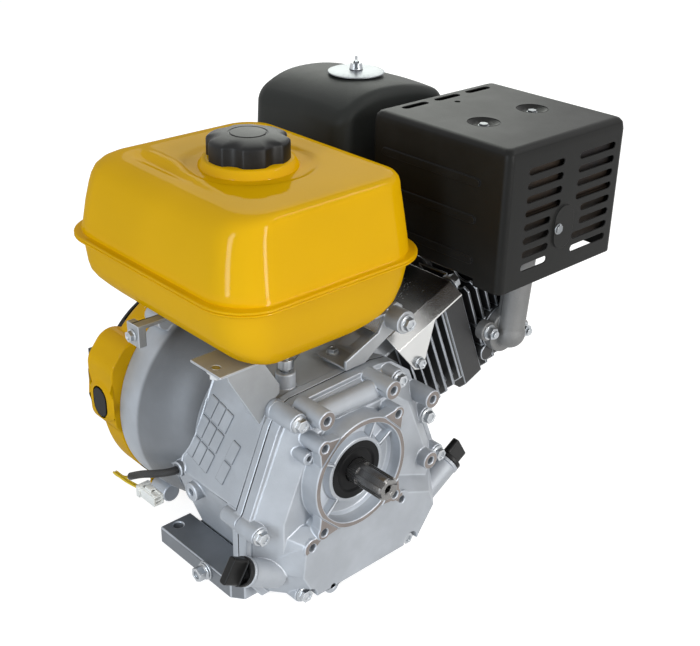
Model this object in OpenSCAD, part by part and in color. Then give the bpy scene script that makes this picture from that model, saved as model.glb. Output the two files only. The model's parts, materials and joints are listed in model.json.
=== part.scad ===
// Small single-cylinder petrol engine: splined output shaft, leaning cylinder, tank on top.
// Origin is the centre of the four foot holes on the base plane. The output shaft points to -Y,
// the cylinder head to +X and +Z is up. All sizes are in millimetres.

/* [Block] */
// Height of the crankshaft axis above the base plane
shaft_h = 132; // [128:0.5:137]
// Lean of the cylinder above level, in degrees
tilt = 22; // [19:0.5:24]
// Cylinder bore diameter
bore_d = 88; // [82:0.5:90]
// Piston stroke
stroke = 64; // [58:1:66]
// Connecting rod length between its eyes
rod_len = 118; // [115:1:121]
// Thickness of the casting walls
case_wall = 7; // [5:0.5:9]
// Foot hole spacing across the shaft
foot_dx = 195; // [190:1:200]
// Foot hole spacing along the shaft
foot_dy = 105; // [96:1:112]
// Thickness of the foot rails
foot_h = 18.5; // [16:0.5:21]
// Diameter of the foot holes
foot_hole_d = 11; // [9:0.5:13]

/* [Output shaft and face] */
// Outside diameter of the splined shaft
pto_d = 25; // [23:0.5:28]
// Length of shaft standing out of the seal
pto_len = 46; // [42:1:56]
// Number of splines
spline_n = 6; // [6, 8, 10]
// Depth of the spline grooves
spline_depth = 2; // [1.2:0.1:2.6]
// Length of the splined part
spline_len = 35; // [25:1:37]
// Diameter of the shaft journals
journal_d = 35; // [32:0.5:36]
// Diameter of the tapped hole in the shaft end
end_hole_d = 8; // [6:0.5:10]
// Bolt circle of the machined output ring
ring_pcd = 135; // [133:0.5:138]
// Outside diameter of the machined output ring
ring_od = 118; // [115:0.5:121]
// Inside diameter of the machined output ring
ring_id = 106; // [100:0.5:108]
// Diameter of the tapped holes in the output face
tap_d = 8.4; // [6:0.2:9]
// Outside diameter of the output shaft oil seal
seal_d = 62; // [58:0.5:64]

/* [Fasteners] */
// Thread diameter of the large flange bolts
big_bolt_d = 8; // [7:0.5:9]
// Hexagon size of the large flange bolts
big_bolt_af = 12; // [11:0.5:13]
// Thread diameter of the small flange bolts
small_bolt_d = 6; // [5:0.5:6.5]
// Hexagon size of the small flange bolts
small_bolt_af = 10; // [8:0.5:10.5]

/* [Flywheel end] */
// Outside radius of the bell behind the crankcase
bell_r = 120; // [118:0.5:122]
// Depth of the yellow fan cover
cowl_depth = 47; // [45:0.5:50]
// Radius of the starter housing
recoil_r = 95; // [91:0.5:99]
// Depth of the starter housing
recoil_depth = 38; // [36:0.5:42]
// Outside radius of the flywheel
flywheel_r = 98; // [92:0.5:104]
// Number of fan blades
blade_n = 16; // [10:1:20]

/* [Tank] */
// Height of the tank seam above the shaft axis
tank_rise = 201; // [199:0.5:204]
// Tank length across the shaft at the seam, without the seam lip
tank_x = 230; // [226:1:234]
// Tank length along the shaft at the seam, without the seam lip
tank_y = 276; // [270:1:282]
// Height of the tank above the seam
tank_up = 80; // [76:0.5:84]
// Depth of the tank below the seam
tank_down = 71; // [68:0.5:73]
// Width of the rolled seam lip
seam_lip = 6.5; // [4:0.5:8]
// Thickness of the tank sheet
tank_t = 1.4; // [1:0.1:2]
// Diameter of the filler cap
cap_d = 80; // [74:0.5:84]
// Number of lobes round the filler cap
cap_lobes = 8; // [6:1:12]

/* [Exhaust] */
// Guard length across the shaft
guard_x = 182; // [176:1:186]
// Guard length along the shaft
guard_y = 182; // [178:1:184]
// Guard height
guard_z = 145; // [140:1:150]
// Thickness of the guard sheet
guard_t = 1.6; // [1.2:0.1:2.2]
// Number of slot rows in the guard front
slot_rows = 8; // [6:1:9]
// Outside diameter of the exhaust elbow pipe
elbow_d = 31; // [28:0.5:34]

/* [Intake] */
// Air cleaner length across the shaft
filter_x = 165; // [160:1:168]
// Air cleaner length along the shaft
filter_y = 153; // [148:1:156]
// Height of the top of the air cleaner cover above the shaft axis
filter_rise = 313; // [308:0.5:318]
// Throat diameter of the carburettor
throat_d = 26; // [22:0.5:30]

/* [Hidden] */
$fn = 48;
run = 0.08;
gap = 0.3;
fit = 0.2;
gasket_t = 0.8;
y_joint = -72;
y_cover = y_joint - gasket_t;
y_flange = y_cover - 12;
y_ring = -125.3;
y_low = y_ring + 2.3;
y_shoulder = -106;
y_boss = y_ring + 8.3;
y_shaft = y_boss - pto_len;
flange_w = 9;
body_back = 43;
foot_back = 62;
bell_in = 34;
bell_front = 22;
bell_bulge = 80;
chamber_back = 30;
bell_rim = 116;
y_cowl = bell_rim + cowl_depth;
y_recoil = y_cowl + recoil_depth;
bore_y = -10;
crown_h = 35;
skirt_h = 51;
crank_r = stroke / 2;
deck_t = crank_r + rod_len + crown_h;
bearing_r = 36;
bearing_w = 17;
bear_front = -105;
bear_rear = 34;
seal_w = 8;
lip_gap = 0.7;
rear_seal_r = 26;
cam_a = -40;
gear_m = 2.5;
gear_n = 22;
cam_c = gear_m * gear_n * 1.5;
cam_x = cam_c * cos(cam_a);
cam_z = shaft_h + cam_c * sin(cam_a);
foot_w = 39;
foot_out = foot_dx / 2 + 16.5;
big_fl = big_bolt_d * 1.1;
small_fl = small_bolt_d * 1.1;
boss_r = big_fl + 1.2;
ring_ang = [45, 135, 225, 315];
rib_ang = [30, 62, 150, 224];
outer_r = 86;
breather = [-57, shaft_h + 35];
lower_lug = [-33, 9.5];
outer_bosses = [[outer_r * cos(60), outer_r * sin(60), y_ring + 3],
  [-outer_r * cos(60), outer_r * sin(60), y_ring + 3],
  [outer_r * cos(45), -outer_r * sin(45), y_low], [-outer_r * cos(45), -outer_r * sin(45), y_low],
  [107, 37, -116], [107, -36, -118]];
rim = [[-94, -125], [-108, -104], [-112, -84], [-112, -36], [-106, -26], [-72, 56], [-62, 74],
  [-48, 79], [58, 83],
  [76, 80], [103, 60], [120, 18], [143, -36], [150, -58], [146, -72], [128, -98], [96, -125]];
mid = [12, -22];
body = concat([[-73, -125], [-75.5, -113.5], [-104, -38], [-107, -27]],
  [for (i = [5:len(rim) - 1]) rim[i]]);
wall_in = 0.985;
cover_bolts = [[-62, 71, -104], [68, 70, -103], [119, 5, -97], [-106, -38, -99], [77, -120.5, -112],
  [-64, -120.5, -112], [139, -50, -97]];
neck_l = [-124, -97, shaft_h - 71];
neck_r = [157, -97, shaft_h - 69];
neck_tilt = 31;
neck_bore = 21;
cyl_up = 58;
barrel_dn = 66;
head_dn = 80;
fin_y = 72;
head_top = deck_t + 98;
port_t = deck_t + 58;
plug_x = -42;
rock_x = [-14, 70];
exh = [port_t + 4, 30];
inl = [port_t - 4, 8];
axis_x = cos(tilt);
axis_z = sin(tilt);
inl_x = inl[0] * axis_x + inl[1] * axis_z;
inl_z = shaft_h + inl[0] * axis_z - inl[1] * axis_x;
exh_x = exh[0] * axis_x + exh[1] * axis_z;
exh_z = shaft_h + exh[0] * axis_z - exh[1] * axis_x;
inl_face = bore_y + fin_y + 8;
exh_face = bore_y - fin_y - 4;
elbow_y = exh_face - 16;
stud_a = -15;
stud_r = 30;
seam_z = shaft_h + tank_rise;
tank_cx = -19;
tank_cy = 29;
tx0 = tank_cx - tank_x / 2;
tx1 = tank_cx + tank_x / 2;
ty0 = tank_cy - tank_y / 2;
ty1 = tank_cy + tank_y / 2;
tank_top = seam_z + tank_up;
tank_bot = seam_z - tank_down;
cap_at = [-13, 26];
neck_top = tank_top + 9;
gx0 = 142;
gx1 = gx0 + guard_x;
gy1 = 21;
gy0 = gy1 - guard_y;
gz0 = shaft_h + 158;
elbow_a = atan(10 / (gz0 + 8 - exh_z));
gz1 = gz0 + guard_z;
fx0 = 121;
fx1 = fx0 + filter_x;
fy0 = 44;
fy1 = fy0 + filter_y;
filter_joint = shaft_h + 220;
filter_top = shaft_h + filter_rise;
filter_h = filter_top - filter_joint - 25;
stud_at = [fx0 + filter_x / 2, fy0 + filter_y * 0.44];
cowl_hole_r = 84;
lug_ang = [40, 124, 232, 320];
lug_r = bell_r + 8.5;
reel_y0 = y_cowl + 8;
reel_r = 60;
handle_dir = 12;
handle_p = [bell_r - 36, y_cowl + 18, bell_r - 36];
handle_in = norm([handle_p[0], handle_p[2]]) - recoil_r + 20;
lever_at = [124, shaft_h + 140];
plate_y = bore_y + fin_y + gap;
gov_at = [-33, -50];
gov_z = shaft_h + 106;
plug_at = [-bell_r - 6, 138, shaft_h + 12];
sw_x = -110;
sw_z = shaft_h + 46;
lead_grommet = [-110, 31, shaft_h - 27];
br_y = -42;
deck_z = shaft_h + 84;
deck_x = [-66, 35];
rear_bolt = [-30, 60];
recoil_ang = [80, 200, 320];
head_x = [-52, 50];
head_y = [-56, 56];
rock_y = [-51, 51];
rear_z = shaft_h + bell_r - 1;
left_bolt = [-117, -54];
rear_lug = [-126, 58, 20];
br_r = [84, shaft_h + 124];

// Rounded rectangle from corner to corner
function rr(x0, y0, x1, y1, r, n = 5) = concat(
  [for (i = [0:n]) [x1 - r + r * cos(90 * i / n), y1 - r + r * sin(90 * i / n)]],
  [for (i = [0:n]) [x0 + r - r * sin(90 * i / n), y1 - r + r * cos(90 * i / n)]],
  [for (i = [0:n]) [x0 + r - r * cos(90 * i / n), y0 + r - r * sin(90 * i / n)]],
  [for (i = [0:n]) [x1 - r + r * sin(90 * i / n), y0 + r - r * cos(90 * i / n)]]);
// Slot outline with round ends, lying along x
function pill(l, w, n = 5) = concat(
  [for (i = [0:n]) [l / 2 - w / 2 + w / 2 * sin(180 * i / n), -w / 2 * cos(180 * i / n)]],
  [for (i = [0:n]) [w / 2 - l / 2 - w / 2 * sin(180 * i / n), w / 2 * cos(180 * i / n)]]);
// Points moved up to the crank axis
function lift(pts) = [for (p = pts) [p[0], p[1] + shaft_h]];
// Points drawn in towards the middle of the cover
function shrink(pts, k) = [for (p = pts) mid + (p - mid) * k];
function polar(r, a) = [r * cos(a), r * sin(a)];
// Outline of a toothed wheel with slack between the teeth
function teeth(n, m) = [for (i = [0:n - 1]) for (q = [[-0.25, -1.2], [-0.11, 0.8], [0.11, 0.8],
  [0.25, -1.2]])
  polar(m * (n / 2 + q[1]), (i + q[0]) * 360 / n)];
// Outline of the lobed filler cap
function lobes(r, n) = [for (i = [0:n * 10 - 1]) polar(r - 5 * pow(0.5 - 0.5 * cos(36 * i), 2),
  36 * i / n)];

// Flat outline in x and z drawn out along y
module prism_y(y0, y1) translate([0, y1, 0]) rotate([90, 0, 0]) linear_extrude(height = y1 - y0)
  children();
// Round bar along y
module rod_y(x, z, r, y0, y1) translate([x, y1, z]) rotate([90, 0, 0]) cylinder(r = r, h = y1 - y0);
// Turned shape about a line along y, from points of radius and y
module turn_y(x, z, pts) translate([x, 0, z]) rotate([-90, 0, 0]) rotate_extrude() polygon(pts);
// Frame of the cylinder: z along the bore, x down across it
module at_bore() translate([0, bore_y, shaft_h]) rotate([0, 90 - tilt, 0]) children();
module at_crank() translate([0, 0, shaft_h]) children();
// Turn about the crank axis, from +X towards +Z
module spin(a) rotate([0, -a, 0]) children();
module layer(z, pts) translate([0, 0, z]) linear_extrude(height = 0.2) polygon(pts);
// Hexagon bolt with a washer face, its head towards +Z
module flange_bolt(d, af, fr, len) {
  difference() {
    union() {
      cylinder(r = fr, h = d * 0.2);
      translate([0, 0, d * 0.15]) cylinder(r1 = fr * 0.93, r2 = af * 0.52, h = d * 0.2);
      cylinder(r = af / sqrt(3), h = d * 0.95, $fn = 6);
    }
    translate([0, 0, d * 0.8]) cylinder(r = af * 0.3, h = d);
  }
  translate([0, 0, -len]) cylinder(d = d, h = len + 0.1);
}
module big_bolt(len) flange_bolt(big_bolt_d, big_bolt_af, big_fl, len);
module small_bolt(len) flange_bolt(small_bolt_d, small_bolt_af, small_fl, len);
module facing_front(p) translate(p) rotate([90, 0, 0]) children();
module facing_back(p) translate(p) rotate([-90, 0, 0]) children();
// Bolt frames on the moving axis of a filler neck
module at_neck(p, s) translate(p) rotate([0, s * (90 - neck_tilt), 0]) children();

// Outline of a cooling fin in the cylinder frame
function fin(dn, up, hy, c) = [[dn, -hy + c], [dn - c, -hy], [-up + c, -hy], [-up, -hy + c],
  [-up, hy - c],
  [-up + c, hy], [dn - c, hy], [dn, hy - c]];

module crankcase() color("silver") difference() {
  union() {
    difference() {
      union() {
        prism_y(y_joint, y_joint + flange_w) polygon(lift(rim));
        prism_y(y_joint + flange_w / 2, body_back) polygon(lift(shrink(body, wall_in)));
        turn_y(0, shaft_h, concat([[0, bell_front]],
          [for (a = [0:9:90]) [bell_r - bell_in * (1 - sin(a)), bell_front + bell_bulge * (1 - cos(a))]],
          [[bell_r, bell_rim], [0, bell_rim]]));
        at_bore() cylinder(d = bore_d + 24, h = deck_t);
        at_bore() translate([0, 0, 60]) linear_extrude(height = deck_t - 96) polygon(fin(60, 50, 56, 14));
        at_bore() translate([0, 0, deck_t - 5]) linear_extrude(height = 5)
          polygon(fin(barrel_dn, cyl_up, fin_y, 12));
        for (i = [1:5]) at_bore() translate([0, 0, deck_t - 4.5 - i * 11.6]) linear_extrude(height = 3)
          polygon(fin(barrel_dn, cyl_up, fin_y, 12));
      }
      prism_y(y_joint - 1, chamber_back) offset(delta = -case_wall) polygon(lift(shrink(body, wall_in)));
      turn_y(0, shaft_h, [[0, 68], [bell_r - 32, 68], [bell_r - 29, 44], [bell_r - 20, 44],
        [bell_r - 14, 51],
        [bell_r - 11, 60], [bell_r - 9, 74], [bell_r - 9, bell_rim + 1], [0, bell_rim + 1]]);
    }
    for (s = [-1, 1]) translate([s > 0 ? foot_out - foot_w : -foot_out, y_joint, 0])
      linear_extrude(height = foot_h) polygon([[s > 0 ? 0 : 9, 0], [s > 0 ? foot_w - 9 : foot_w, 0],
        [foot_w, s > 0 ? 12 : 0], [foot_w, foot_back - y_joint], [0, foot_back - y_joint],
          [0, s > 0 ? 0 : 12]]);
    translate([-80, y_joint, 2]) cube([160, body_back + 6 - y_joint, 12]);
    for (b = cover_bolts) rod_y(b[0], b[1] + shaft_h, boss_r - 0.6, y_joint, y_joint + 24);
    for (a = lug_ang) at_crank() spin(a) rod_y(lug_r, 0, 10.5, bell_rim - 26, bell_rim);
    translate([-111, 6, shaft_h - 41]) rotate([0, 90, 0]) cylinder(r = 10, h = 16);
    rod_y(cam_x, cam_z, 16, chamber_back - 6, 52);
    translate([gov_at[0], gov_at[1], shaft_h + 70]) cylinder(r = 10, h = 24);
    for (x = deck_x) translate([x, br_y, shaft_h + 60]) cylinder(r = 9, h = 24);
    translate([rear_bolt[0], rear_bolt[1], rear_z - 36]) cylinder(r = 8.5, h = 36);
    translate([lead_grommet[0] + 1, lead_grommet[1], lead_grommet[2]]) rotate([0, 90, 0])
      cylinder(r = 8, h = 15);
  }
  at_bore() translate([0, 0, 40]) cylinder(d = bore_d, h = deck_t);
  rod_y(0, shaft_h, bearing_r, bear_rear, bear_rear + bearing_w + 2);
  rod_y(0, shaft_h, rear_seal_r, bear_rear + bearing_w + 1, 69);
  rod_y(0, shaft_h, journal_d / 2 + 4, chamber_back - 1, 60);
  rod_y(cam_x, cam_z, 9 + run, chamber_back - 8, 46);
  for (sx = [-1, 1]) for (sy = [-1, 1]) translate([sx * foot_dx / 2, sy * foot_dy / 2, -1])
    cylinder(d = foot_hole_d, h = foot_h + 2);
  for (b = cover_bolts) rod_y(b[0], b[1] + shaft_h, big_bolt_d / 2 + fit, y_joint - 1, y_joint + 20);
  for (a = lug_ang) at_crank() spin(a) rod_y(lug_r, 0, small_bolt_d / 2 + fit, bell_rim - 18,
    bell_rim + 1);
  translate([-112, 6, shaft_h - 41]) rotate([0, 90, 0]) cylinder(r = 4, h = 9);
  translate([gov_at[0], gov_at[1], shaft_h + 60]) cylinder(r = 4 + run, h = 40);
  translate([-foot_out - 1, -20, 11]) rotate([0, 90, 0]) cylinder(r = 6 + fit, h = 24);
  for (x = deck_x) translate([x, br_y, deck_z - 18]) cylinder(r = small_bolt_d / 2 + fit, h = 20);
  translate([rear_bolt[0], rear_bolt[1], rear_z - 16]) cylinder(r = small_bolt_d / 2 + fit, h = 20);
  for (x = head_x) for (y = head_y) at_bore() translate([x, y, deck_t - 30])
    cylinder(r = 5 + fit, h = 40);
  at_bore() translate([-14, -64, deck_t - 52]) rotate([90, 0, 0])
    cylinder(r = small_bolt_d / 2 + fit, h = 20);
}

module filler_neck() {
  translate([0, 0, -46]) cylinder(r = neck_bore / 2 + 3.2, h = 46);
  translate([0, 0, -4]) cylinder(r = neck_bore / 2 + 4.2, h = 4);
}
module side_cover() color("lightgray") difference() {
  union() {
    difference() {
      union() {
        prism_y(y_flange, y_cover) polygon(lift(rim));
        hull() {
          prism_y(y_flange - 0.5, y_flange) polygon(lift(shrink(rim, 0.95)));
          prism_y(y_shoulder, y_shoulder + 0.5) polygon(lift(shrink(rim, 0.76)));
        }
        hull() {
          prism_y(y_flange - 0.5, y_flange)
            polygon(lift([[-86, -123], [-104, -86], [-92, -44], [98, -40], [138, -58],
            [126, -96], [94, -123]]));
          prism_y(y_low, y_low + 0.5) polygon(lift([[-56, -123], [-72, -92], [-68, -56], [-40, -44],
            [40, -44], [64, -54],
            [102, -70], [110, -90], [86, -123]]));
        }
        turn_y(0, shaft_h, [[0, y_shoulder + 4], [ring_od / 2 + 2, y_shoulder + 4],
          [ring_od / 2, y_ring], [0, y_ring]]);
      }
      turn_y(0, shaft_h, [[0, y_ring - 1], [ring_id / 2, y_ring - 1], [ring_id / 2, y_ring + 8],
        [ring_id / 2 - 4, y_ring + 16],
        [seal_d / 2 + 6, y_ring + 16], [seal_d / 2 + 4, y_boss - 0.5], [0, y_boss - 0.5]]);
      prism_y(y_flange, y_cover + 1) offset(delta = -case_wall - 1) polygon(lift(rim));
    }
    for (a = ring_ang) at_crank() spin(a) {
      rod_y(ring_pcd / 2, 0, 8.2, y_ring, y_flange - 2);
      prism_y(y_ring, y_ring + 12) polygon([[ring_od / 2 - 2, -17], [ring_pcd / 2 + 2, -7],
        [ring_pcd / 2 + 2, 7], [ring_od / 2 - 2, 17]]);
    }
    for (a = rib_ang) at_crank() spin(a) translate([seal_d / 2 + 3, y_ring + 7, -1.5])
      cube([ring_id / 2 - seal_d / 2 - 2, 10, 3]);
    for (b = outer_bosses) rod_y(b[0], b[1] + shaft_h, 10, b[2], y_flange + 2);
    for (b = cover_bolts) rod_y(b[0], b[1] + shaft_h, boss_r, b[2], y_cover);
    translate([-44, -99, shaft_h + 68]) rotate([0, 90, 0]) cylinder(r = 11, h = 92);
    rod_y(breather[0], breather[1], 7, -113.5, y_flange - 2);
    rod_y(lower_lug[0], lower_lug[1], 8.5, -122, y_shoulder);
    at_neck(neck_l, -1) filler_neck();
    at_neck(neck_r, 1) filler_neck();
    rod_y(cam_x, cam_z, 16, y_flange - 2, y_cover - 4);
  }
  rod_y(0, shaft_h, seal_d / 2, y_boss - 2, y_boss + seal_w);
  rod_y(breather[0], breather[1], 3, -114.5, -102);
  rod_y(lower_lug[0], lower_lug[1], 3.2, -123, -112);
  rod_y(0, shaft_h, journal_d / 2 + 4, y_boss, y_flange + 1);
  rod_y(0, shaft_h, bearing_r, bear_front, y_flange + 1);
  rod_y(cam_x, cam_z, 9 + run, y_flange - 10, y_cover + 1);
  for (a = ring_ang) at_crank() spin(a) rod_y(ring_pcd / 2, 0, tap_d / 2, y_ring - 1, y_ring + 20);
  for (b = outer_bosses) rod_y(b[0], b[1] + shaft_h, tap_d / 2, b[2] - 1, b[2] + 20);
  for (b = cover_bolts) {
    rod_y(b[0], b[1] + shaft_h, big_bolt_d / 2 + fit, b[2] - 1, y_cover + 1);
    rod_y(b[0], b[1] + shaft_h, big_fl + 1, y_ring - 1, b[2]);
  }
  at_neck(neck_l, -1) translate([0, 0, -40]) cylinder(d = neck_bore, h = 41);
  at_neck(neck_r, 1) translate([0, 0, -40]) cylinder(d = neck_bore, h = 41);
}

module cover_gasket() color("black") difference() {
  prism_y(y_cover, y_joint) polygon(lift(rim));
  prism_y(y_cover - 1, y_joint + 1) offset(delta = -case_wall) polygon(lift(rim));
  for (b = cover_bolts) rod_y(b[0], b[1] + shaft_h, big_bolt_d / 2 + fit, y_cover - 1, y_joint + 1);
}

module m8_flange_bolts() color("gainsboro") {
  for (b = cover_bolts) facing_front([b[0], b[2], b[1] + shaft_h]) big_bolt(18 - b[2] + y_joint);
  facing_front([br_r[0], -95, br_r[1]]) big_bolt(16);
  translate([left_bolt[0], left_bolt[1], tank_bot - 3]) rotate([180, 0, 0]) big_bolt(2.2);
}

module m6_flange_bolts() color("gainsboro") {
  for (a = lug_ang) at_crank() spin(a) facing_back([lug_r, bell_rim + 3, 0]) small_bolt(17);
  for (a = recoil_ang) at_crank() spin(a) facing_back([recoil_r + 8, y_cowl + 2.2, 0]) small_bolt(4);
  for (x = rock_x) for (y = rock_y) at_bore() translate([x, y, head_top + 2]) small_bolt(9);
  for (x = deck_x) translate([x, br_y, deck_z + 2.4]) small_bolt(16);
  translate([rear_bolt[0], rear_bolt[1], rear_z + 2.4]) small_bolt(14);
  translate([rear_lug[0], rear_lug[1] + 10, tank_bot - 13]) rotate([0, -90, 0]) small_bolt(12);
  at_bore() translate([-14, -fin_y - 1.8, deck_t - 52]) rotate([90, 0, 0]) small_bolt(9);
}

module cylinder_head() color("dimgray") difference() {
  union() {
    at_bore() translate([0, 0, deck_t + 0.2]) linear_extrude(height = 27)
      polygon(fin(head_dn, cyl_up, fin_y, 12));
    for (i = [0:4]) at_bore() translate([0, 0, deck_t + 36 + i * 11.6]) linear_extrude(height = 3)
      polygon(fin(head_dn, cyl_up - 4 - i * 4, fin_y, 14));
    at_bore() translate([0, 0, deck_t + 20]) linear_extrude(height = 60) polygon(fin(62, 20, 46, 8));
    at_bore() translate([0, 0, deck_t + 56]) linear_extrude(height = head_top - deck_t - 56)
      polygon(fin(76, 20, 57, 6));
    at_bore() translate([exh[1], -fin_y - 4, exh[0]]) rotate([-90, 0, 0]) cylinder(r = 25, h = 40);
    at_bore() translate([inl[1], fin_y + 8, inl[0]]) rotate([90, 0, 0]) cylinder(r = 24, h = 40);
    for (s = [-1, 1]) at_bore() translate([exh[1], -fin_y - 4, exh[0]])
      rotate([0, 90 - tilt + stud_a - 90, 0])
      translate([0, 0, s * stud_r]) rotate([-90, 0, 0]) cylinder(r = 10, h = 30);
    at_bore() translate([plug_x, 4, deck_t + 20]) cylinder(r = 14, h = 24);
  }
  at_bore() translate([0, 0, deck_t - 1]) cylinder(d = bore_d - 4, h = 9);
  at_bore() translate([0, 0, head_top - 34]) linear_extrude(height = 40) polygon(fin(64, 8, 45, 6));
  at_bore() translate([exh[1], -fin_y - 6, exh[0]]) rotate([-90, 0, 0]) cylinder(d = elbow_d - 8, h = 40);
  at_bore() translate([inl[1], fin_y + 9, inl[0]]) rotate([90, 0, 0]) cylinder(d = throat_d, h = 40);
  for (x = head_x) for (y = head_y) at_bore() translate([x, y, deck_t - 1]) {
    cylinder(r = 5 + fit, h = 40);
    translate([0, 0, 28.2]) cylinder(r = 12, h = 60);
  }
  for (x = rock_x) for (y = rock_y) at_bore() translate([x, y, head_top - 16])
    cylinder(r = small_bolt_d / 2 + fit, h = 20);
  at_bore() translate([plug_x, 4, deck_t - 1]) cylinder(r = 7, h = 60);
  at_bore() translate([plug_x, 4, deck_t + 44]) cylinder(r = 14, h = 70);
  for (s = [-1, 1]) translate([exh_x, exh_face - 1, exh_z]) spin(stud_a) translate([s * stud_r, 0, 0])
    rotate([-90, 0, 0]) cylinder(r = 4 + fit, h = 20);
}

module head_bolts() color("dimgray")
  for (x = head_x) for (y = head_y) at_bore() translate([x, y, deck_t + 27.2])
    flange_bolt(10, 14, 10.6, 55);

module rocker_cover() color("silver") at_bore() difference() {
  union() {
    translate([0, 0, head_top]) linear_extrude(height = 2) polygon(fin(78, 22, 59, 8));
    hull() {
      translate([0, 0, head_top + 1]) linear_extrude(height = 1) polygon(fin(64, 8, 46, 10));
      translate([0, 0, head_top + 19]) linear_extrude(height = 1) polygon(fin(61, 5, 43, 10));
      translate([0, 0, head_top + 24]) linear_extrude(height = 1) polygon(fin(56, 0, 38, 9));
    }
  }
  hull() {
    translate([0, 0, head_top - 1]) linear_extrude(height = 1) polygon(fin(62, 6, 44, 9));
    translate([0, 0, head_top + 18]) linear_extrude(height = 1) polygon(fin(59, 3, 41, 9));
    translate([0, 0, head_top + 22]) linear_extrude(height = 1) polygon(fin(55, -1, 37, 8));
  }
  for (x = rock_x) for (y = rock_y) translate([x, y, head_top - 1])
    cylinder(r = small_bolt_d / 2 + fit, h = 4);
}

module spark_plug() color("white") at_bore() translate([plug_x, 4, deck_t + 12]) {
  cylinder(r = 6.9, h = 32);
  translate([0, 0, 32]) cylinder(r = 12, h = 12, $fn = 6);
  translate([0, 0, 43]) cylinder(r1 = 9, r2 = 6, h = 10);
  translate([0, 0, 52]) cylinder(r = 5.2, h = 20);
  translate([0, 0, 71]) cylinder(r = 3.4, h = 9);
}

module main_bearings() color("gainsboro") for (y = [bear_front, bear_rear])
  turn_y(0, shaft_h, [[journal_d / 2 + run, y], [bearing_r - 0.02, y],
    [bearing_r - 0.02, y + bearing_w], [journal_d / 2 + run, y + bearing_w]]);

module shaft_seals() color("black") {
  turn_y(0, shaft_h, [[pto_d / 2 + lip_gap, y_boss + 0.6], [journal_d / 2 + 2, y_boss + 0.6],
    [journal_d / 2 + 5, y_boss + 1.6], [journal_d / 2 + 7, y_boss], [seal_d / 2 - 0.02, y_boss],
    [seal_d / 2 - 0.02, y_boss + seal_w], [journal_d / 2 + run, y_boss + seal_w],
    [journal_d / 2 + run, y_boss + 5], [pto_d / 2 + lip_gap, y_boss + 2.2]]);
  turn_y(0, shaft_h, [[journal_d / 2 + run, 58], [rear_seal_r - 0.02, 58], [rear_seal_r - 0.02, 65],
    [journal_d / 2 + run, 65]]);
}

module web(y0) at_bore() prism_y(y0, y0 + 18) {
  translate([0, crank_r]) circle(r = 26);
  difference() {
    circle(r = 55);
    translate([-60, 12]) square([120, 60]);
  }
}
module crankshaft() color("lightsteelblue") difference() {
  union() {
    turn_y(0, shaft_h, [[0, -10 - 31], [journal_d / 2, -41], [journal_d / 2, y_boss + 5.8],
      [pto_d / 2, y_boss + 3],
      [pto_d / 2, y_shaft + 2], [pto_d / 2 - 2, y_shaft], [0, y_shaft]]);
    web(-31);
    web(13);
    turn_y(0, shaft_h, [[0, 11], [journal_d / 2, 11], [journal_d / 2, 69], [15, 70], [11, 108],
      [9, 109], [9, 130], [0, 130]]);
  }
  rod_y(0, shaft_h, end_hole_d / 2, y_shaft - 1, y_shaft + 26);
  turn_y(0, shaft_h, [[0, y_shaft - 0.1], [end_hole_d / 2 + 2, y_shaft - 0.1],
    [end_hole_d / 2, y_shaft + 2.2], [0, y_shaft + 2.2]]);
  for (i = [0:spline_n - 1]) at_crank() spin(i * 360 / spline_n + 15)
    translate([pto_d / 2 - spline_depth, y_shaft - 1, -PI * pto_d / spline_n / 4])
    cube([6, spline_len + 1, PI * pto_d / spline_n / 2]);
}
module crank_gear() color("gray") difference() {
  prism_y(-58, -46) translate([0, shaft_h]) rotate(cam_a) polygon(teeth(gear_n, gear_m));
  rod_y(0, shaft_h, journal_d / 2 + 0.02, -59, -45);
}
module camshaft() color("gray") {
  difference() {
    prism_y(-57, -47) translate([cam_x, cam_z]) rotate(cam_a + 180 + 180 / (gear_n * 2))
      polygon(teeth(gear_n * 2, gear_m));
    rod_y(cam_x, cam_z, 12, -58, -46);
    for (a = [0:60:300]) translate([cam_x, 0, cam_z]) spin(a) rod_y(34, 0, 11, -58, -46);
  }
  difference() {
    rod_y(cam_x, cam_z, 13, -60, -44);
    rod_y(cam_x, cam_z, 8, -61, -43);
  }
  rod_y(cam_x, cam_z, 9, y_flange - 8, 44);
  for (i = [0, 1]) prism_y(-34 + i * 26, -24 + i * 26) translate([cam_x, cam_z]) rotate(-20 + i * 110) {
    circle(r = 12.5);
    translate([6, 0]) circle(r = 11);
  }
}

module piston() color("silver") at_bore() difference() {
  translate([0, 0, deck_t - 1 - skirt_h]) cylinder(d = bore_d - 2 * run, h = skirt_h);
  translate([0, 0, deck_t - 60]) cylinder(d = bore_d - 14, h = 48);
  translate([0, -60, deck_t - crown_h]) rotate([-90, 0, 0]) cylinder(r = 10, h = 120);
  for (i = [0:2]) translate([0, 0, deck_t - 8 - i * 7]) difference() {
    cylinder(d = bore_d + 2, h = 2);
    cylinder(d = bore_d - 6, h = 2);
  }
}
module piston_rings() color("dimgray") at_bore() for (i = [0:2]) translate([0, 0, deck_t - 7.9 - i * 7])
  difference() {
  cylinder(d = bore_d - 0.06, h = 1.8);
  translate([0, 0, -1]) cylinder(d = bore_d - 5.6, h = 4);
}
module wrist_pin() color("gainsboro") at_bore() translate([0, -40, deck_t - crown_h])
  rotate([-90, 0, 0]) difference() {
  cylinder(r = 9.98, h = 80);
  translate([0, 0, -1]) cylinder(r = 6, h = 82);
}
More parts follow.
